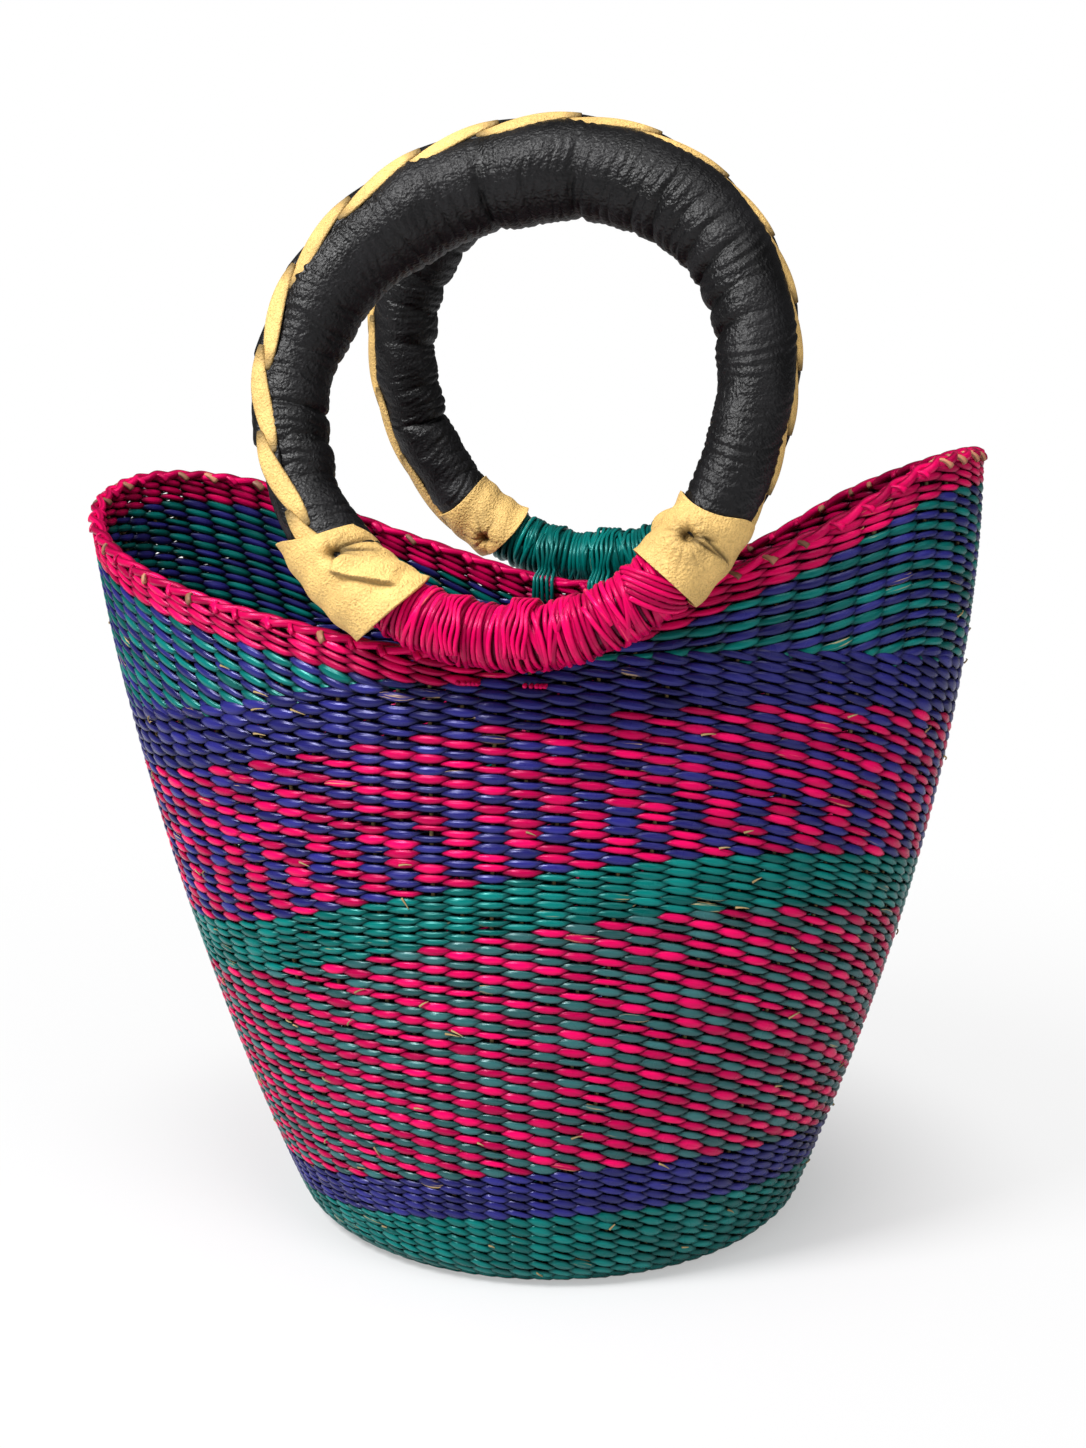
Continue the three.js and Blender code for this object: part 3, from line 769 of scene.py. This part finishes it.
def hoopAxis(hoop):
    face = wallPoint(np.array(math.pi / 2), np.array(wall["dipHeight"]), 0)[1]
    return np.array([hoop["shift"], hoop["side"] * (face + hoopValues["standoff"]),
                     wall["dipHeight"] + hoopValues["aboveDip"]])


def hoopFrame(hoop, turn):
    # the ring's centre and, at a turn from the middle of the winding, the unit vector out; the ring's normal
    lean, side = hoop["lean"], hoop["side"]
    up = np.array([0, -side * math.sin(lean), math.cos(lean)])
    normal = np.array([0, side * math.cos(lean), math.sin(lean)])
    across = np.array([1.0, 0, 0])
    place = turn + hoop["roll"]
    radial = np.sin(place)[..., None] * across - np.cos(place)[..., None] * up
    return hoopAxis(hoop) + up * hoop["radius"], radial, normal


def ringRadius(hoop, place):
    # not quite round: radius * (1 + waves twice and three times round + the rise from the flattened bottom)
    pull, slant, peak, heave = hoop["oval"]
    raised = 1 - np.exp(-(2 * np.sin(place / 2) / hoopValues["flatSpan"]) ** 2)
    waves = pull * (np.cos(2 * place) - 1) + slant * np.sin(2 * place)
    waves = waves + peak * (np.cos(3 * place) - 1) + heave * np.sin(3 * place)
    return hoop["radius"] * (1 + waves + hoop["flat"] * raised)


def hoopPoint(hoop, turn, away, around):
    # centre of the section plus away in direction around, 0 being out of the ring
    centre, radial, normal = hoopFrame(hoop, turn)
    reach = ringRadius(hoop, turn + hoop["roll"]) + away * np.cos(around)
    return centre + radial * reach[..., None] + normal * (away * np.sin(around))[..., None]


def sleeveRadius(hoop, turn):
    topShare = ((1 - np.cos(turn)) / 2) ** 2
    return hoop["sideRadius"] + (hoop["topRadius"] - hoop["sideRadius"]) * topShare


def hoopGrid(hoop, turn, away, around, **values):
    # a tube whose rings run round the hoop's section; turned so that its faces look out
    rings = hoopPoint(hoop, turn, away, around)
    flow = np.cross(rings[0, 1] - rings[0, 0], rings[1, 0] - rings[0, 0])
    outward = rings[0, 0] - rings[0].mean(0)
    if flow @ outward < 0:
        rings = rings[:, ::-1]
        values = {key: value[:, ::-1] if np.ndim(value) == 2 else value for key, value in values.items()}
    middle = rings.mean(1)
    return {"rings": rings, "closed": False, "along": lengthAlong(middle, False), **values}


# darken sets the painted shade in the gathers and folds
leatherSleeve = {
    "lengthSteps": 640, "sides": 80, "underCuff": 12.0, "gatherStep": 0.0062, "gatherDepth": 0.0011,
    "gatherWidth": 0.0007, "gatherInner": (1.6, 5.0), "foldDepth": 0.0030, "foldWidth": 0.0019,
    "foldInner": (0.9, 1.6), "lumps": 0.0007, "lumpShift": 0.01, "lumpLengths": (4, 0.02, 0.06),
    "fine": 0.0002, "fineShift": 0.012, "fineLengths": (5, 0.003, 0.008), "stand": 0.0008, "darken": 420,
    "bend": 0.004, "slope": 0.0015, "widths": (0.7, 1.5), "depths": (0.35, 1.2), "gaps": (0.5, 1.5),
    "heights": (0.6, 1),
}


def creaseField(local, reach, around, places, depth, width, inward):
    # valleys with cusped floors at the given places, strongest on the inner side, each a little curved
    inner = (1 - np.cos(around)) / 2
    field = 0
    for place in places:
        bend = local.normal() * leatherSleeve["bend"]
        lean = local.normal() * leatherSleeve["slope"]
        line = place + bend * (1 - inner) + lean * np.sin(around)
        sharp = width * local.uniform(*leatherSleeve["widths"])
        deep = depth * local.uniform(*leatherSleeve["depths"])
        field = field + deep * np.exp(-np.abs(reach - line) / sharp) * inner ** local.uniform(*inward)
    return field


def foldNoise(local, length, count, low, high):
    # a sum of cosines with seeded wavelengths, brought to about -1 to 1
    total = np.zeros_like(length)
    for _ in range(count):
        tall = local.uniform(*leatherSleeve["heights"])
        waves = 2 * np.pi * length / local.uniform(low, high) + local.uniform(0, 2 * np.pi)
        total = total + tall * np.cos(waves)
    return total / count ** 0.5


def makeSleeve(name, hoop):
    # away = sleeve radius - gathers - folds + slow lumps + fine ones + stand; gathers start on the inner side
    values = leatherSleeve
    local = np.random.default_rng(hoop["seed"])
    end = math.radians(hoop["cuffEnd"] - values["underCuff"])
    turn = np.linspace(end, 2 * np.pi - end, values["lengthSteps"])[:, None]
    around = roundAngles(values["sides"])[None, :]
    reach = turn * hoop["radius"]
    count = int((2 * np.pi - 2 * end) * hoop["radius"] / values["gatherStep"])
    places = np.cumsum(local.uniform(*values["gaps"], count)) * values["gatherStep"] + end * hoop["radius"]
    gathers = creaseField(local, reach, around, places, values["gatherDepth"], values["gatherWidth"],
                          values["gatherInner"])
    large = np.radians(np.array(hoop["folds"])) * hoop["radius"]
    folds = creaseField(local, reach, around, large, values["foldDepth"], values["foldWidth"],
                        values["foldInner"])
    lumps = foldNoise(local, reach + values["lumpShift"] * np.cos(around), *values["lumpLengths"])
    fine = foldNoise(local, reach + values["fineShift"] * np.sin(around), *values["fineLengths"])
    away = (sleeveRadius(hoop, turn) - gathers - folds + values["lumps"] * lumps + values["fine"] * fine
            + values["stand"])
    # painted shade: darker in the gathers and folds
    crest = np.clip(1 - values["darken"] * (gathers + folds), 0, 1)
    tube = hoopGrid(hoop, turn + 0 * around, away, around + 0 * turn, crest=crest)
    joinTubes(name + "LeatherSleeve", [tube], blackLeather, hoop["body"],
              (name + "_leather_sleeve", name + "_hoop_core"))


# pitDark, foldDark, darkest, lapShade, lapShadeWidth, lapShadeTo and edgeCrest set painted shade
cuffValues = {
    "steps": 90, "sides": 180, "thick": 0.0013, "pitWidth": 0.0021, "pitDark": 1.1, "foldDark": 620,
    "darkest": 0.002, "puffAt": 0.0055, "puffWidth": 0.004, "startFade": 0.0012, "endFade": 0.7,
    "lapFade": 0.004, "lapEdge": 0.0007, "lapShade": 0.0012, "lapShadeWidth": 0.001, "lapShadeTo": 0.0004,
    "edgeCrest": 0.7, "inside": 0.9, "wave": 0.0004, "waveLength": 0.013, "ripple": 0.0003, "rippleRate": 90,
}


def rotated(x, y, degrees):
    c, s = math.cos(math.radians(degrees)), math.sin(math.radians(degrees))
    return c * x + s * y, -s * x + c * y


def makeCuff(name, hoop, hand, folds):
    # a wrapped sheet; share runs from the straw to the leather; dx and dy are metres from the knot on it;
    # away = radius + shift * cos + flare - creases - pit + puff + laps, each lap a step with painted shade at
    # its foot
    values = cuffValues
    share = np.linspace(0, 1, values["steps"])[:, None]
    around = roundAngles(values["sides"])[None, :]
    low = folds["low"] + folds["lowSlant"] * np.cos(around - folds["lowAt"])
    high = folds["high"] + folds["highSlant"] * np.cos(around - folds["highAt"])
    high = high + folds["highDip"] * np.cos(2 * around)
    turn = np.radians(low + (high - low) * share)
    dx = turn * hoop["radius"] - math.radians(folds["knotTurn"]) * hoop["radius"]
    dy = (np.mod(around - folds["knotAt"] + np.pi, 2 * np.pi) - np.pi) * folds["radius"] + 0 * dx
    away = folds["radius"] + folds["outShift"] * np.cos(around) + folds["flare"] * (1 - share) ** 2 + 0 * dx
    away = away + values["wave"] * np.cos(2 * np.pi * dx / values["waveLength"] + 2 * around)
    away = away + values["ripple"] * np.cos(3 * around + values["rippleRate"] * dx)
    creaseAndShadow = 0
    for angle, reach, depth, width in folds["creases"]:
        ahead, aside = rotated(dx, dy, angle)
        fade = np.clip(ahead / values["startFade"], 0, 1)
        fade = fade * np.clip(1 - ahead / reach, 0, 1) ** values["endFade"]
        spread = width * (0.5 + np.clip(ahead, 0, reach) / reach)
        creaseAndShadow = creaseAndShadow + depth * np.exp(-np.abs(aside) / spread) * fade
    distance = np.sqrt(dx ** 2 + dy ** 2)
    pit = np.exp(-(distance / values["pitWidth"]) ** 2)
    puff = np.exp(-((distance - values["puffAt"]) / values["puffWidth"]) ** 2)
    away = away - creaseAndShadow - folds["pit"] * pit + folds["puff"] * puff
    for x, y, angle, length, tall, fall in folds["laps"]:
        ahead, aside = rotated(dx - x, dy - y, angle)
        fade = np.clip(ahead / values["lapFade"], 0, 1) * np.clip((length - ahead) / values["lapFade"], 0, 1)
        rise = np.clip(aside / values["lapEdge"] + 0.5, 0, 1) * np.exp(-np.maximum(aside, 0) / fall)
        away = away + tall * rise * fade
        # painted shadow below the lap's edge
        shadow = np.exp(-(np.minimum(aside, 0) / values["lapShadeWidth"]) ** 2)
        creaseAndShadow = creaseAndShadow + values["lapShade"] * shadow * (aside < values["lapShadeTo"]) * fade
    turn = hand * turn
    around = around + 0 * turn
    outer = hoopPoint(hoop, turn, away, around)
    innerAway = np.maximum(away - values["thick"], hoop["sideRadius"] * values["inside"])
    inner = hoopPoint(hoop, turn, innerAway, around)
    rings = np.concatenate([outer, inner[::-1]]).transpose(1, 0, 2)
    # painted shade: darker in the knot pit, along the creases and under each lap's edge; the sheet's inner
    # face is painted at edgeCrest
    dark = values["pitDark"] * pit + values["foldDark"] * np.clip(creaseAndShadow, 0, values["darkest"])
    darkness = np.clip(1 - dark, 0, 1)
    crest = np.concatenate([darkness, np.full_like(darkness, values["edgeCrest"])]).T
    flow = np.cross(rings[1, 0] - rings[0, 0], rings[0, 1] - rings[0, 0])
    if flow @ (rings[0, 0] - outer[0].mean(0)) > 0:
        rings, crest = rings[::-1], crest[::-1]
    label = "Right" if hand > 0 else "Left"
    tube = {"rings": rings, "closed": True, "along": lengthAlong(rings[:, 0], True), "crest": crest}
    joinTubes(name + "Cuff" + label, [tube], tanLeather, hoop["body"],
              (name + "_cuff_" + label.lower(),))


# creases: bearing from the knot, length, depth, width; laps: start x and y, bearing, length, height, fall-off
cuffFolds = {
    ("front", -1): {
        "radius": 0.0178, "outShift": 0.0030, "flare": 0.0010, "low": 32.0, "lowSlant": 6.0, "lowAt": -0.87,
        "high": 57.5, "highSlant": 4.0, "highAt": -0.17, "highDip": 1.5, "knotAt": 1.49, "knotTurn": 49.4,
        "pit": 0.0040, "puff": 0.0012,
        "creases": ((99, 0.024, 0.0030, 0.0011), (112, 0.012, 0.0012, 0.0006), (124, 0.024, 0.0032, 0.0011),
                    (140, 0.016, 0.0016, 0.0008), (72, 0.012, 0.0013, 0.0006), (86, 0.016, 0.0009, 0.0005),
                    (209, 0.010, 0.0014, 0.0006), (30, 0.010, 0.0010, 0.0006), (160, 0.012, 0.0008, 0.0006)),
        "laps": ((-0.033, 0.0074, -23.6, 0.031, 0.0036, 0.0075),)},
    ("front", 1): {
        "radius": 0.0163, "outShift": 0.0004, "flare": 0.0006, "low": 36.0, "lowSlant": 1.5, "lowAt": 0.0,
        "high": 54.8, "highSlant": 0.8, "highAt": 0.0, "highDip": 1.6, "knotAt": 1.535, "knotTurn": 46.4,
        "pit": 0.0055, "puff": 0.0014,
        "creases": (
            (-66, 0.014, 0.0024, 0.0008), (-83, 0.024, 0.0028, 0.0009), (-50, 0.009, 0.0014, 0.0006),
            (-100, 0.014, 0.0014, 0.0007), (-118, 0.015, 0.0011, 0.0006), (-135, 0.013, 0.0010, 0.0005),
            (-152, 0.016, 0.0012, 0.0005), (-172, 0.013, 0.0012, 0.0005), (165, 0.013, 0.0012, 0.0005),
            (140, 0.011, 0.0012, 0.0006), (112, 0.013, 0.0014, 0.0008), (80, 0.010, 0.0010, 0.0008),
            (-20, 0.010, 0.0010, 0.0006), (20, 0.008, 0.0010, 0.0006)),
        "laps": ((0.0022, -0.024, 87, 0.021, 0.0024, 0.0060),)},
    ("rear", -1): {
        "radius": 0.0158, "outShift": 0.0006, "flare": 0.0004, "low": 27.0, "lowSlant": 5.0, "lowAt": 0.6,
        "high": 44.5, "highSlant": 1.5, "highAt": 0.4, "highDip": 0.8, "knotAt": -1.25, "knotTurn": 30.5,
        "pit": 0.0045, "puff": 0.0010,
        "creases": ((0, 0.012, 0.0014, 0.0006), (35, 0.014, 0.0014, 0.0006), (70, 0.014, 0.0013, 0.0006),
                    (120, 0.010, 0.0012, 0.0006), (200, 0.008, 0.0014, 0.0006), (-40, 0.014, 0.0014, 0.0007),
                    (-90, 0.014, 0.0013, 0.0006)),
        "laps": ()},
    ("rear", 1): {
        "radius": 0.0156, "outShift": 0.0004, "flare": 0.0004, "low": 27.0, "lowSlant": 3.0, "lowAt": 1.3,
        "high": 45.0, "highSlant": 1.5, "highAt": 0.5, "highDip": 0.8, "knotAt": 1.4, "knotTurn": 36.0,
        "pit": 0.0045, "puff": 0.0010,
        "creases": ((10, 0.012, 0.0013, 0.0006), (60, 0.014, 0.0014, 0.0006), (150, 0.012, 0.0013, 0.0006),
                    (215, 0.009, 0.0013, 0.0006), (-70, 0.014, 0.0014, 0.0006)),
        "laps": ()},
}

# creaseCrest and crestGain set the strands' painted shade; the bundle's shade is painted darkness
winding = {
    "strandHalf": 0.00122, "depth": 0.00118, "sides": 8, "pitch": 0.00228, "away": 0.0117, "pastEnd": 1.5,
    "stepsPerLoop": 22, "tilt": 0.010, "tiltTurn": 0.8, "lift": 0.0005, "wave": 0.0003, "creaseCrest": 0.12,
    "crestGain": 0.75, "seedShift": 20, "waves": 3.0,
    "over": {"count": 40, "steps": 40, "span": 0.93, "tilt": 1.7, "drift": 0.012, "stand": 0.0014,
             "dip": 0.0016, "dipSteps": 4},
    "lashing": {"count": 6, "steps": 24, "back": 7.5, "climb": 8.2, "step": 0.006, "from": 2.5, "shift": 0.22,
                "round": 1.7, "stand": 0.0024},
    "bundle": {"steps": 40, "sides": 16, "sink": 0.0006, "shade": 0.2},
}


def makeWinding(name, hoop):
    # one helix from cuff to cuff, looser turns crossing over it, a slanted lashing and the bundle beneath,
    # painted dark as shade
    values = winding
    end = math.radians(hoop["windingEnd"] + values["pastEnd"])
    loops = int(2 * end * hoop["radius"] / values["pitch"])
    share = np.linspace(0, 1, loops * values["stepsPerLoop"] + 1)
    around = 2 * np.pi * loops * share
    local = np.random.default_rng(hoop["seed"] + values["seedShift"])
    knots = np.arange(loops + 1)
    tilt = np.interp(share * loops, knots, local.normal(size=loops + 1))
    turn = -end + 2 * end * share + values["tilt"] * tilt * np.cos(around + values["tiltTurn"] * tilt)
    lift = np.interp(share * loops, knots, local.random(loops + 1))
    away = values["away"] + values["lift"] * lift + values["wave"] * np.sin(around * values["waves"] + tilt)
    tone = np.repeat(local.random(loops + 1), values["stepsPerLoop"])[:len(share)]
    tubes = [windStrand(hoop, turn, away, around, tone)]
    over = values["over"]
    steps = np.arange(over["steps"])
    dip = np.clip(1 - np.minimum(steps, steps[::-1]) / over["dipSteps"], 0, 1)
    for _ in range(over["count"]):
        around = np.linspace(0, 2 * np.pi, over["steps"]) + local.uniform(0, 2 * np.pi)
        middle = local.uniform(-end * over["span"], end * over["span"])
        tilt = math.radians(local.normal() * over["tilt"])
        drift = over["drift"] * np.linspace(-1, 1, over["steps"])
        turn = middle + tilt * np.cos(around - local.uniform(-1, 1)) + drift
        away = values["away"] + over["stand"] + values["wave"] * np.sin(2 * around) - over["dip"] * dip
        tubes.append(windStrand(hoop, turn, away, around, np.full(over["steps"], local.random())))
    lashing = values["lashing"]
    slope = np.linspace(0, 1, lashing["steps"])
    climb = end - math.radians(lashing["back"]) + math.radians(lashing["climb"]) * slope
    for k in range(lashing["count"]):
        turn = climb - lashing["step"] * k
        around = lashing["from"] - lashing["shift"] * k - lashing["round"] * slope
        away = values["away"] + lashing["stand"] + 0 * slope
        tubes.append(windStrand(hoop, turn, away, around, np.full(lashing["steps"], local.random())))
    joinTubes(name + "StrawWinding", tubes, hoop["straw"], hoop["body"],
              (name + "_straw_winding",))
    bundle = values["bundle"]
    turn = np.linspace(-end, end, bundle["steps"])[:, None] + np.zeros((1, bundle["sides"]))
    around = roundAngles(bundle["sides"])[None, :] + 0 * turn
    away = np.full(turn.shape, values["away"] - bundle["sink"])
    # painted shade: the bundle's tone and crest are both set low
    tube = hoopGrid(hoop, turn, away, around, shade=bundle["shade"], crest=bundle["shade"])
    joinTubes(name + "StrawBundle", [tube], hoop["straw"], hoop["body"])


def windStrand(hoop, turn, away, around, tone):
    # crest = painted shade: a low value in the creases + gain * how far the side faces outwards
    path = hoopPoint(hoop, turn, away, around)
    radial, normal = hoopFrame(hoop, turn)[1:]
    outward = radial * np.cos(around)[:, None] + normal * np.sin(around)[:, None]
    sides = winding["sides"]
    tube = strand(path, outward, winding["strandHalf"], winding["depth"], sides, shade=tone, wear=tone ** 4)
    face = np.clip(np.sin(roundAngles(sides)), 0, 1)
    tube["crest"] = np.broadcast_to(winding["creaseCrest"] + winding["crestGain"] * face, (len(path), sides))
    return tube


# crestGain and crestFrom set the painted shade towards each leaf's ends
braid = {
    "halfWidth": 0.0047, "halfDepth": 0.0012, "sides": 12, "stand": (0.0004, 0.0008, 0.0014, 0.0016, 0.0016),
    "lift": 0.0005, "steps": 46, "reach": 0.14, "swing": 0.0021, "tip": 0.26, "tipShape": 0.75,
    "crestGain": 1.9, "crestFrom": 0.1, "underCuff": 4, "firstGap": 12.5, "lastGap": 21.0, "phase": 0.1,
    "fewest": 4,
    "shares": (0, 0.3, 0.5, 0.75, 1),
    "seats": {"front": (-24, -2, 38, 58, 74), "rear": (-20, -20, -20, -22, -25)},
    "faces": {"front": (2, 22, 55, 70, 80), "rear": (-30, -35, -40, -45, -45)},
    "black": {"steps": 900, "sides": 8, "shift": 0.0012, "sink": 0.0012, "halfWidth": 0.0034,
              "halfDepth": 0.0012, "swing": 1.35, "turnShare": 0.08},
}


def braidPlace(name, hoop, share):
    # at a share of the leather's length: the line the straps lie on, the way they face, the way across
    end = math.radians(hoop["cuffEnd"] - braid["underCuff"])
    turn = end + (2 * np.pi - 2 * end) * share
    seat = np.radians(np.interp(share, braid["shares"], braid["seats"][name]))
    face = np.radians(np.interp(share, braid["shares"], braid["faces"][name]))
    radial, normal = hoopFrame(hoop, turn)[1:]
    facing = radial * np.cos(face)[:, None] + normal * np.sin(face)[:, None]
    sideways = radial * np.sin(face)[:, None] - normal * np.cos(face)[:, None]
    away = sleeveRadius(hoop, turn) + np.interp(share, braid["shares"], braid["stand"])
    return hoopPoint(hoop, turn, away, seat), facing, sideways


def makeBraid(name, hoop):
    # tan leaves, each slanting from the outer edge to the inner one with its tips over its neighbours;
    # the black strap goes the other way beneath; share = growth curve, so the gaps widen to the left
    values = braid
    end = math.radians(hoop["cuffEnd"] - values["underCuff"])
    growth = values["lastGap"] / values["firstGap"] - 1
    span = math.degrees(2 * np.pi - 2 * end) / (values["firstGap"] * growth)
    last = span * np.log(1 + growth) + values["phase"]
    reach = values["reach"]
    leaves = []
    for k in range(int(last) + 1):
        over = np.linspace(-reach, 1 + reach, values["steps"])
        share = (np.exp((k + over - values["phase"]) / span) - 1) / growth
        keep = (share >= 0) & (share <= 1)
        if keep.sum() < values["fewest"]:
            continue
        over, share = over[keep], share[keep]
        spine, facing, sideways = braidPlace(name, hoop, share)
        swell = np.abs(np.sin(np.pi * (over + reach) / (1 + 2 * reach)))
        slide = values["swing"] * np.cos(np.pi * np.clip(over, 0, 1))
        raised = values["lift"] * (1 - 2 * over)
        path = spine + sideways * slide[:, None] + facing * raised[:, None]
        width = values["halfWidth"] * (values["tip"] + (1 - values["tip"]) * swell ** values["tipShape"])
        # painted shade: darker towards each leaf's narrow ends, where it twists
        crest = np.clip(values["crestGain"] * swell - values["crestFrom"], 0, 1)
        leaf = strand(path, facing, width, values["halfDepth"], values["sides"], wear=0.0, crest=crest)
        leaves.append(leaf)
    joinTubes(name + "BraidTan", leaves, tanLeather, hoop["body"], (name + "_braid_tan",))
    under = values["black"]
    share = np.linspace(0, 1, under["steps"])
    crossing = span * np.log(1 + growth * share) + values["phase"]
    spine, facing, sideways = braidPlace(name, hoop, share)
    slide = np.interp(crossing, *blackSwing(int(last) + 2)) + under["shift"]
    path = spine + sideways * slide[:, None] - facing * under["sink"]
    black = strand(path, facing, under["halfWidth"], under["halfDepth"], under["sides"], wear=0.0, crest=1.0)
    joinTubes(name + "BraidBlack", [black], blackLeather, hoop["body"],
              (name + "_braid_black",))


def blackSwing(count):
    # opposite to the leaves: from the inner edge to the outer one along each, then quickly back
    margin, swing = braid["black"]["turnShare"], braid["black"]["swing"] * braid["swing"]
    knots = np.concatenate([[k + margin, k + 1 - margin] for k in range(count)])
    return knots, np.tile([-swing, swing], count)


ties = {
    "spread": 0.014, "strands": 5, "gap": 0.0021, "hug": 0.0156, "radius": 0.0010, "sides": 6,
    "rimLift": 0.0012, "insideAt": 0.268, "insideClear": 0.002, "outsideAt": 0.257, "outsideClear": 0.0012,
    "barTurns": (-200, 15, 22), "dip": 0.002, "low": (0.262, 0.2585), "crossing": 0.004, "sway": 0.0006,
}


def makeTie(name, hoop, hand):
    # oval loops round the bar and through the wall under the rim, in the plane of each strand's x
    values = ties
    axis = hoopAxis(hoop)
    turns = np.radians(np.linspace(*values["barTurns"]))
    middleY, hug = abs(axis[1]), values["hug"]
    tubes = []
    for k in range(values["strands"]):
        x = axis[0] + hand * values["spread"] + (k - (values["strands"] - 1) / 2) * values["gap"]
        angle = hoop["side"] * math.acos(x / wall["mouthHalfWidth"])
        rimTop = float(rimHeight(np.array(angle))) + values["rimLift"]
        inside, outside = (
            abs(wallPoint(np.array(angle), np.array(height), inset)[1]) for height, inset in (
                (values["insideAt"], wall["thickness"] + values["insideClear"]),
                (values["outsideAt"], -values["outsideClear"])))
        bar = np.stack([middleY - hug * np.cos(turns), axis[2] - hug * np.sin(turns)], -1)
        high, low = values["low"]
        through = np.array([[inside, rimTop - values["dip"]], [inside, high],
                            [inside + values["crossing"], low], [outside, low]])
        route = np.concatenate([bar[::-1] if bar[0, 0] < bar[-1, 0] else bar, through])
        path = np.stack([x + values["sway"] * np.sin(np.arange(len(route)) + k), hoop["side"] * route[:, 0],
                         route[:, 1]], -1)
        outward = unit(path - np.array([x, axis[1], axis[2]]))
        tubes.append(strand(path, outward, values["radius"], values["radius"], values["sides"],
                            shade=rng.random(), wear=0.3))
    label = "Right" if hand > 0 else "Left"
    joinTubes(name + "Tie" + label, tubes, hoop["straw"], "basket",
              (name + "_tie_" + label.lower(),))


for hoopName, hoopSet in hoops.items():
    makeSleeve(hoopName, hoopSet)
    makeWinding(hoopName, hoopSet)
    makeBraid(hoopName, hoopSet)
    for handSide in (-1, 1):
        makeCuff(hoopName, hoopSet, handSide, cuffFolds[(hoopName, handSide)])
        makeTie(hoopName, hoopSet, handSide)
print("handles made")

# Studio: pale floor, soft key from the left, white world for the camera
studio = {
    "floorSize": 16.0, "floor": (0.72, 0.72, 0.73), "floorRoughness": 0.7, "floorSpecular": 0.1,
    "fades": ((0.110, 0.27, 0.42, 0.42), (0.20, 0.7, 0, 0.16)), "ambient": 0.24, "glossy": 0.08,
    "target": (0, 0, 0.2),
    "lamps": {
        "key": {"place": (-0.9, -1.2, 1.9), "size": 0.7, "watts": 62.0},
        "top": {"place": (0.3, -0.5, 2.3), "size": 1.2, "watts": 17.0},
        "fill": {"place": (1.8, -1.2, 1.3), "size": 1.6, "watts": 8.0},
    },
}


def addFloor(values):
    # white for the camera: share = sum of low + rise * smoothstep from the near to the far distance
    half = values["floorSize"] / 2
    mesh = bpy.data.meshes.new("floor")
    mesh.from_pydata([(-half, -half, 0), (half, -half, 0), (half, half, 0), (-half, half, 0)], [],
                     [(0, 1, 2, 3)])
    material, tree, shader = newMaterial("paleFloor")
    for label, value in (("Base Color", values["floor"]), ("Roughness", values["floorRoughness"]),
                         ("Specular IOR Level", values["floorSpecular"])):
        feed(tree, shader[label], value)
    away = addNode(tree, "VectorMath", {"operation": "LENGTH"})
    feed(tree, away.inputs[0], addNode(tree, "TexCoord").outputs["Object"])
    steps = []
    for near, far, low, rise in values["fades"]:
        fade = addNode(tree, "MapRange", {"interpolation_type": "SMOOTHSTEP"}, Value=away.outputs["Value"])
        for label, number in (("From Min", near), ("From Max", far), ("To Min", low), ("To Max", low + rise)):
            feed(tree, fade.inputs[label], number)
        steps.append(fade.outputs["Result"])
    seen = addNode(tree, "LightPath").outputs["Is Camera Ray"]
    share = maths(tree, "MULTIPLY", maths(tree, "ADD", *steps), seen)
    mixed = addNode(tree, "MixShader")
    shown = (share, tree.nodes["Principled BSDF"].outputs[0], addNode(tree, "Emission").outputs[0])
    for socket, value in zip(mixed.inputs, shown):
        feed(tree, socket, value)
    feed(tree, tree.nodes["Material Output"].inputs["Surface"], mixed.outputs[0])
    mesh.materials.append(material)
    floor = addObject("floor", mesh)


def addLamp(name, values):
    data = bpy.data.lights.new(name, "AREA")
    data.size = values["size"]
    data.energy = values["watts"]
    lamp = addObject(name, data)
    lamp.location = values["place"]
    aim = np.array(studio["target"]) - np.array(values["place"])
    lamp.rotation_euler = (math.atan2(math.hypot(aim[0], aim[1]), -aim[2]), 0, math.atan2(-aim[0], aim[1]))


def addWorld(values):
    # strength 1 where it is seen, ambient for diffuse light, glossy for reflections
    world = bpy.data.worlds.new("studio")
    bpy.context.scene.world = world
    world.use_nodes = True
    tree = world.node_tree
    background = tree.nodes["Background"].inputs
    feed(tree, background["Color"], (1, 1, 1))
    rays = addNode(tree, "LightPath").outputs
    seen = maths(tree, "MAXIMUM", rays["Is Camera Ray"], rays["Is Transmission Ray"])
    strength = maths(tree, "MULTIPLY_ADD", seen, 1 - values["ambient"], values["ambient"])
    mirrored = maths(tree, "MULTIPLY", rays["Is Glossy Ray"], values["ambient"] - values["glossy"])
    feed(tree, background["Strength"], maths(tree, "SUBTRACT", strength, mirrored))


addFloor(studio)
for lampName, lampValues in studio["lamps"].items():
    addLamp(lampName, lampValues)
addWorld(studio)
bpy.context.scene.view_settings.view_transform = "Standard"
print("studio made")
